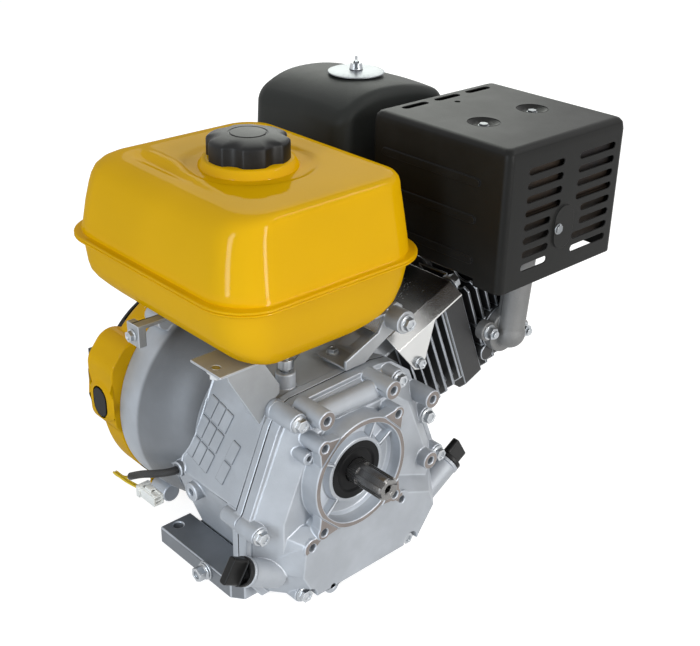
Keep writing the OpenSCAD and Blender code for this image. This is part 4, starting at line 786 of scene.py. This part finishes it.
class ENGINE_OT_lead(Operator):
    """Sleeved charging lead, its two wires and the connector on their end"""
    bl_idname = "engine.lead"
    bl_label = "Charging lead"

    def execute(self, context):
        edge = context.scene.engine_sizes.sheet_edge
        block = boxed_shape("lead_connector_skin", CONNECTOR_BODY, CONNECTOR_CHANGES, edge)
        block.data.materials.append(finish("connector_white"))
        put(block, "lead_connector")
        pins = boxed_shape("lead_connector_pins", PIN, [OTHER_PIN], edge * PIN_EDGE)
        pins.data.materials.append(finish("plug_steel"))
        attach(pins, BODY["lead_connector"])
        for number in range(2):
            shift = Vector(WIRE_STEP) * number
            route = smooth_route([Vector(p) + shift for p in WIRE_POINTS], steps=4)
            wire = tube("wire_%d" % (number + 1), route, WIRE_R, sides=12, paint="wire_yellow")
            put(wire, "lead_wires")
            route_length(route)
        route = smooth_route(LEAD_POINTS, steps=5)
        sleeve = tube("sleeved_lead", route, SLEEVE_R, sides=20, paint="sleeve")
        put(sleeve, "charge_lead")
        route_length(route)
        return {"FINISHED"}


# Castings

RING_FACE_Y = -125.3
RING_WITHIN = 0.25
# The dish in the ring, in a smoother casting painted brighter as painted light: its inner and outer radius
# and how far it lies behind the ring's face
DISH = (34, 51.5)
DISH_BACK = 2
# Centre across, centre up and face of each cut boss
BOSS_FACES = [(43, 206.5, -122.3), (-43, 206.5, -122.3), (60.8, 71.2, -123), (-60.8, 71.2, -123),
              (107, 169, -116), (107, 96, -118)]
BOSS_WITHIN = 0.3
BOSS_REACH = 13
FACING = 0.95
FIN_START = 118
FIN_FLOOR = 60
FOOT_TOP = 21
BELL_START = 23
BELL_INNER = 60


def from_shaft(centre):
    return hypot(centre.x, centre.z - SHAFT_H)


def along_bore(centre):
    return centre.x * cos(TILT) + (centre.z - SHAFT_H) * sin(TILT)


def crankcase_faces(centre, normal):
    if along_bore(centre) > FIN_START and centre.z > FIN_FLOOR:
        return "fin_black"
    # Below the foot's top the casting is darker: partly its own tone, partly painted shade.
    if centre.z < FOOT_TOP:
        return "foot_cast"
    # The bell takes the casting with painted shade in its hollow.
    if centre.y > BELL_START and from_shaft(centre) > BELL_INNER:
        return "bell_cast"
    return "cast_alloy"


def cover_faces(centre, normal):
    # The dish takes the brighter casting: painted light.
    if centre.y > RING_FACE_Y + DISH_BACK and DISH[0] < from_shaft(centre) < DISH[1]:
        return "dish_cast"
    if normal.y < -FACING:
        if abs(centre.y - RING_FACE_Y) < RING_WITHIN:
            return "machined_face"
        for x, z, y in BOSS_FACES:
            if abs(centre.y - y) < BOSS_WITHIN and hypot(centre.x - x, centre.z - z) < BOSS_REACH:
                return "machined_face"
    return "cast_alloy"


class ENGINE_OT_castings(Operator):
    """Crankcase, side cover, head and the other castings"""
    bl_idname = "engine.castings"
    bl_label = "Castings"

    def execute(self, context):
        edge = context.scene.engine_sizes.cast_edge
        dressed("crankcase", ["cast_alloy", "fin_black", "rubbed_edge", "bell_cast", "foot_cast"], edge,
                "rubbed_edge", crankcase_faces)
        dressed("side_cover", ["cast_alloy", "machined_face", "rubbed_edge", "dish_cast"], edge * 0.7,
                "rubbed_edge", cover_faces)
        dressed("cylinder_head", ["fin_black", "fin_edge"], edge * 0.7, "fin_edge")
        dress(edge, rocker_cover="black_sheet", exhaust_elbow="elbow_iron")
        dressed("carburettor", ["carb_alloy", "rubbed_edge"], edge * 0.5, "rubbed_edge")
        dress(edge * 0.1, cover_gasket="gasket")
        return {"FINISHED"}


# Wall tiles

WALL_FOOT = Vector((-105.2, 0, 105.1))
WALL_HEAD = Vector((-70.7, 0, 186.8))
# Where the tiles sit on the wall: back along it and up it, in mm
TILE_FIRST = Vector((12.5, 75.5))
TILE_COLUMN = Vector((-13.0, -2.6))
TILE_ROW = Vector((4.6, -23.2))
TILE_EXTRA = [(-35, 47), (-30.4, 23.8)]
TILE_SINK = 0.15
TILE_INPUTS = {"Width": "Float", "Length": "Float", "Rise": "Float", "Turn": "Rotation",
               "Finish": "Material", "Groove": "Material"}
# The two lifts of a tile: share of its rise, how far its top is drawn in, and whether its sides are
# grooves, which are darkened as painted shade
TILE_LIFTS = ((0.7, 0.985, True), (0.3, 0.94, False))


def tile_tree():
    """Bevelled slabs set on the points of a mesh and turned to the wall."""
    tree = bpy.data.node_groups.new("wall_tiles", "GeometryNodeTree")
    for way in ("INPUT", "OUTPUT"):
        tree.interface.new_socket("Geometry", in_out=way, socket_type="NodeSocketGeometry")
    for name, kind in TILE_INPUTS.items():
        tree.interface.new_socket(name, in_out="INPUT", socket_type="NodeSocket" + kind)

    def add(kind, sockets, settings=None):
        return add_node(tree, "GeometryNode" + kind, settings, sockets).outputs

    given = add_node(tree, "NodeGroupInput").outputs
    body = add("MeshGrid", {"Size X": given["Width"], "Size Y": given["Length"],
                            "Vertices X": 2, "Vertices Y": 2})["Mesh"]
    for share, shrink, groove in TILE_LIFTS:
        lift = add_node(tree, "ShaderNodeMath", {"operation": "MULTIPLY"}, {0: given["Rise"], 1: share})
        raised = add("ExtrudeMesh", {"Mesh": body, "Offset Scale": lift.outputs[0]})
        body = add("ScaleElements", {"Geometry": raised["Mesh"], "Selection": raised["Top"],
                                     "Scale": shrink})["Geometry"]
        if groove:
            body = add("StoreNamedAttribute", {"Geometry": body, "Name": "groove", "Value": raised["Side"]},
                       {"data_type": "BOOLEAN", "domain": "FACE"})["Geometry"]
    spread = add("InstanceOnPoints", {"Points": given["Geometry"], "Instance": body,
                                      "Rotation": given["Turn"]})
    real = add("RealizeInstances", {"Geometry": spread["Instances"]})
    paint = add("SetMaterial", {"Geometry": real["Geometry"], "Material": given["Finish"]})
    # The groove sides take the darker casting: painted shade in the grooves.
    marked = add("InputNamedAttribute", {"Name": "groove"}, {"data_type": "BOOLEAN"})
    dark = add("SetMaterial", {"Geometry": paint["Geometry"], "Selection": marked["Attribute"],
                               "Material": given["Groove"]})
    add_node(tree, "NodeGroupOutput", None, {"Geometry": dark["Geometry"]})
    return tree


RIDGE_FOOT = 8
RIDGE_HEAD = 86
RIDGE_STEP = 6
RIDGE_R = 0.0017
BELL_LIFT = 0.0012
FEEL_STEP = 0.5
FEEL_TIMES = 100
FEEL_FROM = 0.1


def wall_ridge(up, along, out):
    """Where the bell rises from the leaning wall, felt for with rays from outside."""
    solid = tree_of(frame["nodes"]["crankcase"].data)
    route = []
    for t in range(RIDGE_FOOT, RIDGE_HEAD, RIDGE_STEP):
        for y in range(FEEL_TIMES):
            foot = (WALL_FOOT + up * t - along * (y * FEEL_STEP)) * MM
            place, normal, face, far = solid.ray_cast(foot + out * FEEL_FROM, -out)
            if place is not None and (place - foot).dot(out) > BELL_LIFT:
                route.append(foot / MM)
                break
    return route


class ENGINE_OT_wall_tiles(Operator):
    """Raised tiles on the leaning wall of the crankcase, and beside them a ridge in the brightened edge
    finish as a painted highlight
    """
    bl_idname = "engine.wall_tiles"
    bl_label = "Wall tiles"

    def execute(self, context):
        sizes = context.scene.engine_sizes
        up = (WALL_HEAD - WALL_FOOT).normalized()
        along = Vector((0, -1, 0))
        out = along.cross(up)
        spots = [TILE_FIRST + c * TILE_COLUMN + r * TILE_ROW
                 for c in range(sizes.tile_columns) for r in range(sizes.tile_rows)] + TILE_EXTRA
        points = [(WALL_FOOT + up * t - along * y - out * TILE_SINK) * MM for y, t in spots]
        tiles = add_object("wall_tiles", mesh_of("wall_tiles", points, []))
        tree = tile_tree()
        modifier = tiles.modifiers.new("tiles", "NODES")
        modifier.node_group = tree
        slant = atan2(TILE_ROW.x, -TILE_ROW.y)
        turn = Matrix((along, up, out)).transposed() @ Matrix.Rotation(-slant, 3, "Z")
        given = {"Width": sizes.tile_width, "Length": sizes.tile_length, "Rise": sizes.tile_rise,
                 "Turn": turn.to_euler(), "Finish": finish("cast_alloy"), "Groove": finish("groove_cast")}
        for item in tree.interface.items_tree:
            if item.in_out == "INPUT" and item.name in given:
                modifier[item.identifier] = given[item.name]
        settle(tiles)
        if len(tiles.data.polygons) < len(spots):
            raise RuntimeError("the wall tiles came out empty")
        route = smooth_route(wall_ridge(up, along, out), steps=3)
        # The ridge takes the brightened edge finish: a painted highlight along the fillet.
        ridge = tube("wall_ridge", route, RIDGE_R, sides=14, paint="rubbed_edge")
        for piece in (tiles, ridge):
            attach(piece, BODY["crankcase"])
        return {"FINISHED"}


# Tank

TANK = {"left": -134, "front": -109, "right": 96, "back": 167}
SEAM_Z = 333
CAP_AT = (-13, 26)
SIDES = ("front", "right", "back", "left")
# Inset and height above the seam of each side, level by level, and the corner radius of each level
UPPER = {
    "front": [(0.9, 4.5), (2.4, 14), (6, 34), (9.4, 53), (11, 63), (12, 68.4), (13.4, 72.2), (15.8, 75),
              (19.2, 76.6), (26, 77.4)],
    "right": [(0.8, 4.5), (1.8, 14), (4, 34), (6.4, 53), (8, 63), (9, 68.8), (10.6, 73), (13.4, 76),
              (17, 77.6), (24, 78.4)],
    "back": [(0, 4.5), (2, 14), (6, 34), (10, 52), (12.5, 61), (15.5, 67.4), (20, 72.4), (26, 75.6),
             (33, 77.4), (42, 78)],
    "left": [(0, 4.5), (2, 14), (5, 34), (8.5, 50), (11, 59.4), (14.4, 66.2), (19.6, 71.4), (26, 74.6),
             (33, 76.4), (42, 77.2)],
}
LOWER = {
    "front": [(1, -6), (2, -16), (4, -32), (6, -46), (8.5, -54), (12, -60), (16.5, -65), (22, -68.4),
              (28, -70.2), (36, -70.8)],
    "right": [(1, -6), (3, -14), (6, -24), (12, -31), (22, -38), (36, -46), (50, -54), (62, -61), (72, -67),
              (82, -70.8)],
    "back": [(1, -6), (2, -16), (3.5, -28), (5.5, -36), (9, -42), (16, -50), (24, -58), (31, -64.5),
             (37, -69), (44, -70.8)],
}
LOWER["left"] = LOWER["back"]
CORNERS = [44, 43, 41, 39, 38, 36, 34, 31, 28, 26]
# Section of the rolled lip from the seam out and round: distance in from its edge, then height
LIP = [(1.2, 0.12), (0.3, 0.5), (0, 1.3), (0.35, 2.1), (1.3, 2.6), (3, 2.7)]
# And from there back to the wall: inset and height
LIP_FOOT = [(-1.5, 2.9), (0.2, 3.5)]
LIP_CORNER = 46
LIP_TIGHTEN = 0.3
LIP_FAR = -6


def tank_level(sides, radius):
    """A ring round the tank, from each side's inset and height above the seam."""
    front, right, back, left = (sides[side][0] for side in SIDES)
    return oblong(TANK["left"] + left, TANK["front"] + front, TANK["right"] - right, TANK["back"] - back,
                  radius, arc=12, edge=10, base=SEAM_Z, rises=[sides[side][1] for side in SIDES])


# The crease across the tank's top: its course, and where its rise and the fall beyond it start and end
CREASE = [(-103, -88), (-70, 60), (-66, 150)]
CREASE_UP = (-17, 2)
CREASE_DOWN = (2, 8)
CREASE_RISE = 5.8
CREASE_FALL = 1.8
TOP_LOW = 74
CAP_DISH = 2.4
CAP_DISH_EDGE = (66, 60)
TOP_STEPS = (0.06, 0.14, 0.23, 0.32, 0.41, 0.5, 0.58, 0.66, 0.73, 0.79, 0.84, 0.88, 0.92, 0.96, 1)
TOP_BLEND = 0.3
NECK_FOOT = 48
NECK_Z = 78
# Radius and height of the filler neck's section, from its foot into its mouth
NECK = ((46.6, 0.6), (45.2, 2.4), (44, 4.6), (42.6, 5.6), (38, 6), (34, 6.2), (32.4, 6.8), (31.8, 8),
        (31.6, 10), (30.6, 10.8), (29.2, 10.6), (28.6, 9), (28.6, -12))


def crease_side(x, y):
    """How far a point is to the right of the crease, in mm."""
    (ax, ay), (bx, by) = CREASE[:2] if y < CREASE[1][1] else CREASE[1:]
    return x - (ax + (bx - ax) * ((y - ay) / (by - ay)))


def tank_top(x, y):
    """Height of the tank's top above the seam."""
    side = crease_side(x, y)
    far = hypot(x - CAP_AT[0], y - CAP_AT[1])
    crease = TOP_LOW + CREASE_RISE * ease(*CREASE_UP, side) - CREASE_FALL * ease(*CREASE_DOWN, side)
    return crease - CAP_DISH * ease(*CAP_DISH_EDGE, far)


def top_rings(brow):
    """The tank's top, from its brow in to the filler neck and down its mouth."""
    hub = Vector((*CAP_AT, 0))
    flats = [Vector((p.x, p.y, 0)) for p in brow]
    ways = [(flat - hub).normalized() for flat in flats]
    rings = []
    for t in TOP_STEPS:
        ring = [flat.lerp(hub + way * NECK_FOOT, t) for flat, way in zip(flats, ways)]
        for spot, p in zip(ring, brow):
            height = SEAM_Z + tank_top(spot.x, spot.y)
            spot.z = p.z + (height - p.z) * ease(0, TOP_BLEND, t)
        rings.append(ring)
    for radius, rise in NECK:
        rings.append([hub + way * radius + Vector((0, 0, SEAM_Z + NECK_Z + rise)) for way in ways])
    return rings


class ENGINE_OT_tank(Operator):
    """Fuel tank: two pressed halves with a rolled lip"""
    bl_idname = "engine.tank"
    bl_label = "Fuel tank"

    def execute(self, context):
        lip = context.scene.engine_sizes.lip_width / MM
        for name, sign, walls in (("tank_upper", 1, UPPER), ("tank_lower", -1, LOWER)):
            rings = []
            for inset, height in [(inset - lip, height) for inset, height in LIP] + LIP_FOOT:
                level = {side: (inset, height * sign) for side in SIDES}
                rings.append(tank_level(level, LIP_CORNER - max(inset, LIP_FAR) * LIP_TIGHTEN))
            for step, radius in enumerate(CORNERS):
                rings.append(tank_level({side: walls[side][step] for side in SIDES}, radius))
            if name == "tank_upper":
                rings += top_rings(rings[-1])
            skin(loft(name + "_skin", rings), "tank_yellow", degrees=50, node=name)
        return {"FINISHED"}


# Caps, guard and air cleaner

# Height, share of the radius and share of the scallop's depth
CAP_PROFILE = [(0.3, 0.86, 0), (0.0, 0.97, 0.95), (1.2, 1.0, 1), (17.2, 0.995, 1), (18.8, 0.985, 1),
               (19.9, 0.96, 1), (20.7, 0.925, 0.95), (21.5, 0.87, 0.7), (22.6, 0.77, 0.3), (23.8, 0.62, 0),
               (24.5, 0.475, 0), (23.9, 0.455, 0), (23.9, 0.435, 0), (24.7, 0.415, 0), (25.3, 0.25, 0),
               (25.4, 0.08, 0)]
CAP_R = 40
SCALLOP = 4.4
CAP_STEPS = 28


def cap_skin(lobes, low):
    """The fuel cap: straight grips with scallops between them and a low crown with one ring cut in it."""
    foot = Vector((*CAP_AT, low))
    rings = []
    for z, share, depth in CAP_PROFILE:
        def reach(a):
            return CAP_R * share - SCALLOP * depth * max(0, -cos(a * lobes))
        rings.append([foot + p for p in round_ring(lobes * CAP_STEPS, reach, z)])
    return loft("fuel_cap_skin", rings)


class ENGINE_OT_caps(Operator):
    """Fuel cap, oil caps and the moulded levers"""
    bl_idname = "engine.caps"
    bl_label = "Caps and levers"

    def execute(self, context):
        edge = context.scene.engine_sizes.sheet_edge
        cap = cap_skin(context.scene.engine_sizes.cap_lobes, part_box("fuel_cap")[0][2] / MM)
        skin(cap, "black_plastic", degrees=38, node="fuel_cap")
        dress(edge * 2, oil_cap_left="black_plastic", oil_cap_right="black_plastic")
        for node in ("choke_lever", "fuel_valve_lever", "recoil_handle", "cooling_fan", "stop_switch"):
            dressed(node, ["black_plastic"], edge)
        dress(edge, switch_rocker="red_plastic")
        return {"FINISHED"}


def box_of(node):
    return [Vector(corner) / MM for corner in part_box(node)]


def box_ring(box, inset, corner):
    """Rounded oblong round a box, drawn in by inset."""
    return oblong(box[0].x + inset, box[0].y + inset, box[1].x - inset, box[1].y - inset,
                  max(corner - inset, 2), arc=8, edge=14)


def flat_rings(box, levels, corner):
    """Level rings inside a box, from pairs of a height and an inset."""
    return [[p + Vector((0, 0, height)) for p in box_ring(box, inset, corner)] for height, inset in levels]


# Distance from the guard's top or bottom, and inset from its sides
MUFFLER_LEVELS = [(14, 20), (17, 13.5), (20.5, 9.6), (25, 8)]
MUFFLER_SEAM = [(-2.3, 8), (-1.3, 5.5), (1.3, 5.5), (2.3, 8)]
MUFFLER_CORNER = 14


def muffler_skin():
    """Pressed muffler box with a rolled seam round its middle, a little inside its guard."""
    box = box_of("muffler_guard")
    middle = (box[0].z + box[1].z) / 2
    levels = [(box[0].z + rise, inset) for rise, inset in MUFFLER_LEVELS]
    levels += [(middle + rise, inset) for rise, inset in MUFFLER_SEAM]
    levels += [(box[1].z - rise, inset) for rise, inset in reversed(MUFFLER_LEVELS)]
    return loft("muffler_skin", flat_rings(box, levels, MUFFLER_CORNER))


class ENGINE_OT_guard(Operator):
    """Muffler guard and muffler"""
    bl_idname = "engine.guard"
    bl_label = "Muffler guard"

    def execute(self, context):
        dress(context.scene.engine_sizes.sheet_edge, muffler_guard="black_sheet")
        skin(muffler_skin(), "muffler_sheet", degrees=40, node="muffler")
        return {"FINISHED"}


# The air cleaner's arched cover: where its peak is, and how far and how steeply each side falls from it
COVER_PEAK = 0.42
COVER_LEFT = (25, 2.3)
COVER_RIGHT = (21, 2.2)
COVER_BACK = (4.5, 0.3)
COVER_FRONT = (3.5, 0.4)
COVER_GAP = 0.3
COVER_FOOT = [(0.1, 1.6), (0.4, 0.4), (1.4, 0)]
COVER_ROUND = 11
COVER_ROUND_STEPS = 8
COVER_CORNER = 20
COVER_DRAFT = 2.5
COVER_WALL_STEPS = (0.3, 0.65, 1)
COVER_TOP_STEPS = (0.12, 0.28, 0.45, 0.62, 0.78, 0.92)


def cover_top(x, y, box):
    """Height of the air cleaner's arched top."""
    k = (x - box[0].x) / (box[1].x - box[0].x)
    v = (y - box[0].y) / (box[1].y - box[0].y)
    if k < COVER_PEAK:
        fall = COVER_LEFT[0] * ((COVER_PEAK - k) / COVER_PEAK) ** COVER_LEFT[1]
    else:
        fall = COVER_RIGHT[0] * ((k - COVER_PEAK) / (1 - COVER_PEAK)) ** COVER_RIGHT[1]
    fall += COVER_BACK[0] * (max(0, v - COVER_BACK[1]) / (1 - COVER_BACK[1])) ** 2
    fall += COVER_FRONT[0] * (max(0, COVER_FRONT[1] - v) / COVER_FRONT[1]) ** 2
    return box[1].z - COVER_GAP - fall


def cover_skin(box):
    """Moulded cover with drafted sides, a rounded shoulder and an arched top."""
    low = box[0].z
    rings = flat_rings(box, [(low + rise, inset) for rise, inset in COVER_FOOT], COVER_CORNER)
    foot = low + COVER_FOOT[-1][0]

    def add(ring, drop=0, share=1):
        for p in ring:
            p.z = foot + (cover_top(p.x, p.y, box) - drop - foot) * share
        rings.append(ring)

    for share in COVER_WALL_STEPS:
        add(box_ring(box, COVER_DRAFT * share, COVER_CORNER), COVER_ROUND, share)
    for step in range(1, COVER_ROUND_STEPS + 1):
        a = radians(90 * step / COVER_ROUND_STEPS)
        ring = box_ring(box, COVER_DRAFT + COVER_ROUND * (1 - cos(a)), COVER_CORNER)
        add(ring, COVER_ROUND * (1 - sin(a)))
    middle = (box[0] + box[1]) / 2
    brow = rings[-1]
    for share in COVER_TOP_STEPS:
        add([p.lerp(middle, share) for p in brow])
    return loft("air_cleaner_skin", rings)


class ENGINE_OT_air_cleaner(Operator):
    """Air cleaner"""
    bl_idname = "engine.air_cleaner"
    bl_label = "Air cleaner"

    def execute(self, context):
        edge = context.scene.engine_sizes.sheet_edge
        cover = cover_skin(box_of("air_cleaner_cover"))
        skin(cover, "grained_black", degrees=45, node="air_cleaner_cover")
        # The cover's disc takes the darker copy of the bright sheet: painted shade.
        dress(edge, air_cleaner_case="grained_black", air_filter="filter_paper", cover_disc="plated_disc",
              wing_nut="zinc_steel")
        return {"FINISHED"}


class ENGINE_OT_fan_side(Operator):
    """Fan cover and starter"""
    bl_idname = "engine.fan_side"
    bl_label = "Fan side"

    def execute(self, context):
        edge = context.scene.engine_sizes.sheet_edge
        dressed("fan_cover", ["tank_yellow"], edge * 3, segments=3)
        dress(edge, fan_cover_plug="seal_rubber", recoil_housing="black_sheet", recoil_reel="black_plastic",
              starter_cup="bright_sheet", flywheel="iron")
        return {"FINISHED"}


class ENGINE_OT_sheet_parts(Operator):
    """Brackets, shroud and control plate"""
    bl_idname = "engine.sheet_parts"
    bl_label = "Sheet parts"

    def execute(self, context):
        edge = context.scene.engine_sizes.sheet_edge
        dress(edge, shroud_plate="bright_sheet")
        for node in ("tank_bracket_left", "tank_bracket_right", "tank_bracket_rear"):
            dressed(node, ["bracket_cast", "rubbed_edge"], edge * 1.6, "rubbed_edge")
        dress(edge, control_plate="bright_sheet", throttle_lever="black_sheet", governor_arm="zinc_steel")
        return {"FINISHED"}


# Each screw: the place under its head, its direction and the length of its shank
GUARD_SCREWS = [((196, -81, 431), (0, 0, 1), 12), ((271, -81, 431), (0, 0, 1), 12),
                ((224, -162.8, 340), (0, -1, 0), 10)]
SCREW_SHANK = 3.1
# Height, radius and whether the section is a hexagon
SCREW_PROFILE = [(0, 3.1, False), (0, 5.4, False), (0.25, 5.7, False), (0.6, 5.6, False),
                 (0.85, 4.25, True), (2.15, 4.2, True), (2.5, 3.8, True), (2.5, 2.2, False)]
SCREW_STEPS = 36


def screw_skin():
    """The guard's screws: hexagon heads on a thin flange."""
    work = bmesh.new()
    for place, up, shank in GUARD_SCREWS:
        turn = Vector((0, 0, 1)).rotation_difference(Vector(up))
        rings = []
        for z, radius, sided in [(-shank, SCREW_SHANK, False)] + SCREW_PROFILE:
            def reach(a):
                return radius / cos((a + pi / 6) % (pi / 3) - pi / 6) if sided else radius
            rings.append([Vector(place) + turn @ p for p in round_ring(SCREW_STEPS, reach, z)])
        one = loft("guard_screw", rings)
        work.from_mesh(one)
        bpy.data.meshes.remove(one)
    mesh = bpy.data.meshes.new("guard_screws_skin")
    work.to_mesh(mesh)
    work.free()
    return mesh


class ENGINE_OT_fasteners(Operator):
    """Bolts, nuts and the drain plug"""
    bl_idname = "engine.fasteners"
    bl_label = "Fasteners"

    def execute(self, context):
        edge = context.scene.engine_sizes.bolt_edge
        for node in ("m8_flange_bolts", "m6_flange_bolts", "head_bolts", "exhaust_nuts", "flywheel_nut",
                     "drain_plug"):
            dressed(node, ["zinc_steel"], edge)
        # The guard's screws take the darker copy of the zinc: painted shade.
        skin(screw_skin(), "screw_steel", degrees=30, node="guard_screws")
        dress(edge, spark_plug="plug_steel")
        return {"FINISHED"}


class ENGINE_OT_running_gear(Operator):
    """Shaft, seals, piston, rod and cam"""
    bl_idname = "engine.running_gear"
    bl_label = "Running gear"

    def execute(self, context):
        edge = context.scene.engine_sizes.bolt_edge
        for node in ("crankshaft", "crank_gear", "camshaft", "wrist_pin", "connecting_rod", "crankpin",
                     "main_bearings"):
            dressed(node, ["machined_steel"], edge)
        dress(edge, shaft_seals="seal_rubber", piston="piston_alloy")
        dress(edge * 0.3, piston_rings="ring_iron")
        return {"FINISHED"}


OPERATORS = (ENGINE_OT_stage, ENGINE_OT_lead, ENGINE_OT_castings, ENGINE_OT_wall_tiles, ENGINE_OT_tank,
             ENGINE_OT_caps, ENGINE_OT_guard, ENGINE_OT_air_cleaner, ENGINE_OT_fan_side,
             ENGINE_OT_sheet_parts, ENGINE_OT_fasteners, ENGINE_OT_running_gear)


class ENGINE_PT_panel(Panel):
    """Pieces of the engine"""
    bl_idname = "ENGINE_PT_panel"
    bl_label = "Engine"
    bl_space_type = "VIEW_3D"
    bl_region_type = "UI"
    bl_category = "Engine"

    def draw(self, context):
        for group in (context.scene.engine_sizes, context.scene.engine_colours):
            for name in group.__annotations__:
                self.layout.prop(group, name)
        for operator in OPERATORS:
            self.layout.operator(operator.bl_idname)


CLASSES = (EngineColours, EngineSizes) + OPERATORS + (ENGINE_PT_panel,)


def register():
    for item in CLASSES:
        bpy.utils.register_class(item)
    bpy.types.Scene.engine_colours = PointerProperty(type=EngineColours)
    bpy.types.Scene.engine_sizes = PointerProperty(type=EngineSizes)


def unregister():
    del bpy.types.Scene.engine_sizes
    del bpy.types.Scene.engine_colours
    for item in reversed(CLASSES):
        bpy.utils.unregister_class(item)


def main():
    register()
    for operator in OPERATORS:
        group, name = operator.bl_idname.split(".")
        getattr(getattr(bpy.ops, group), name)()


if __name__ == "__main__":
    main()
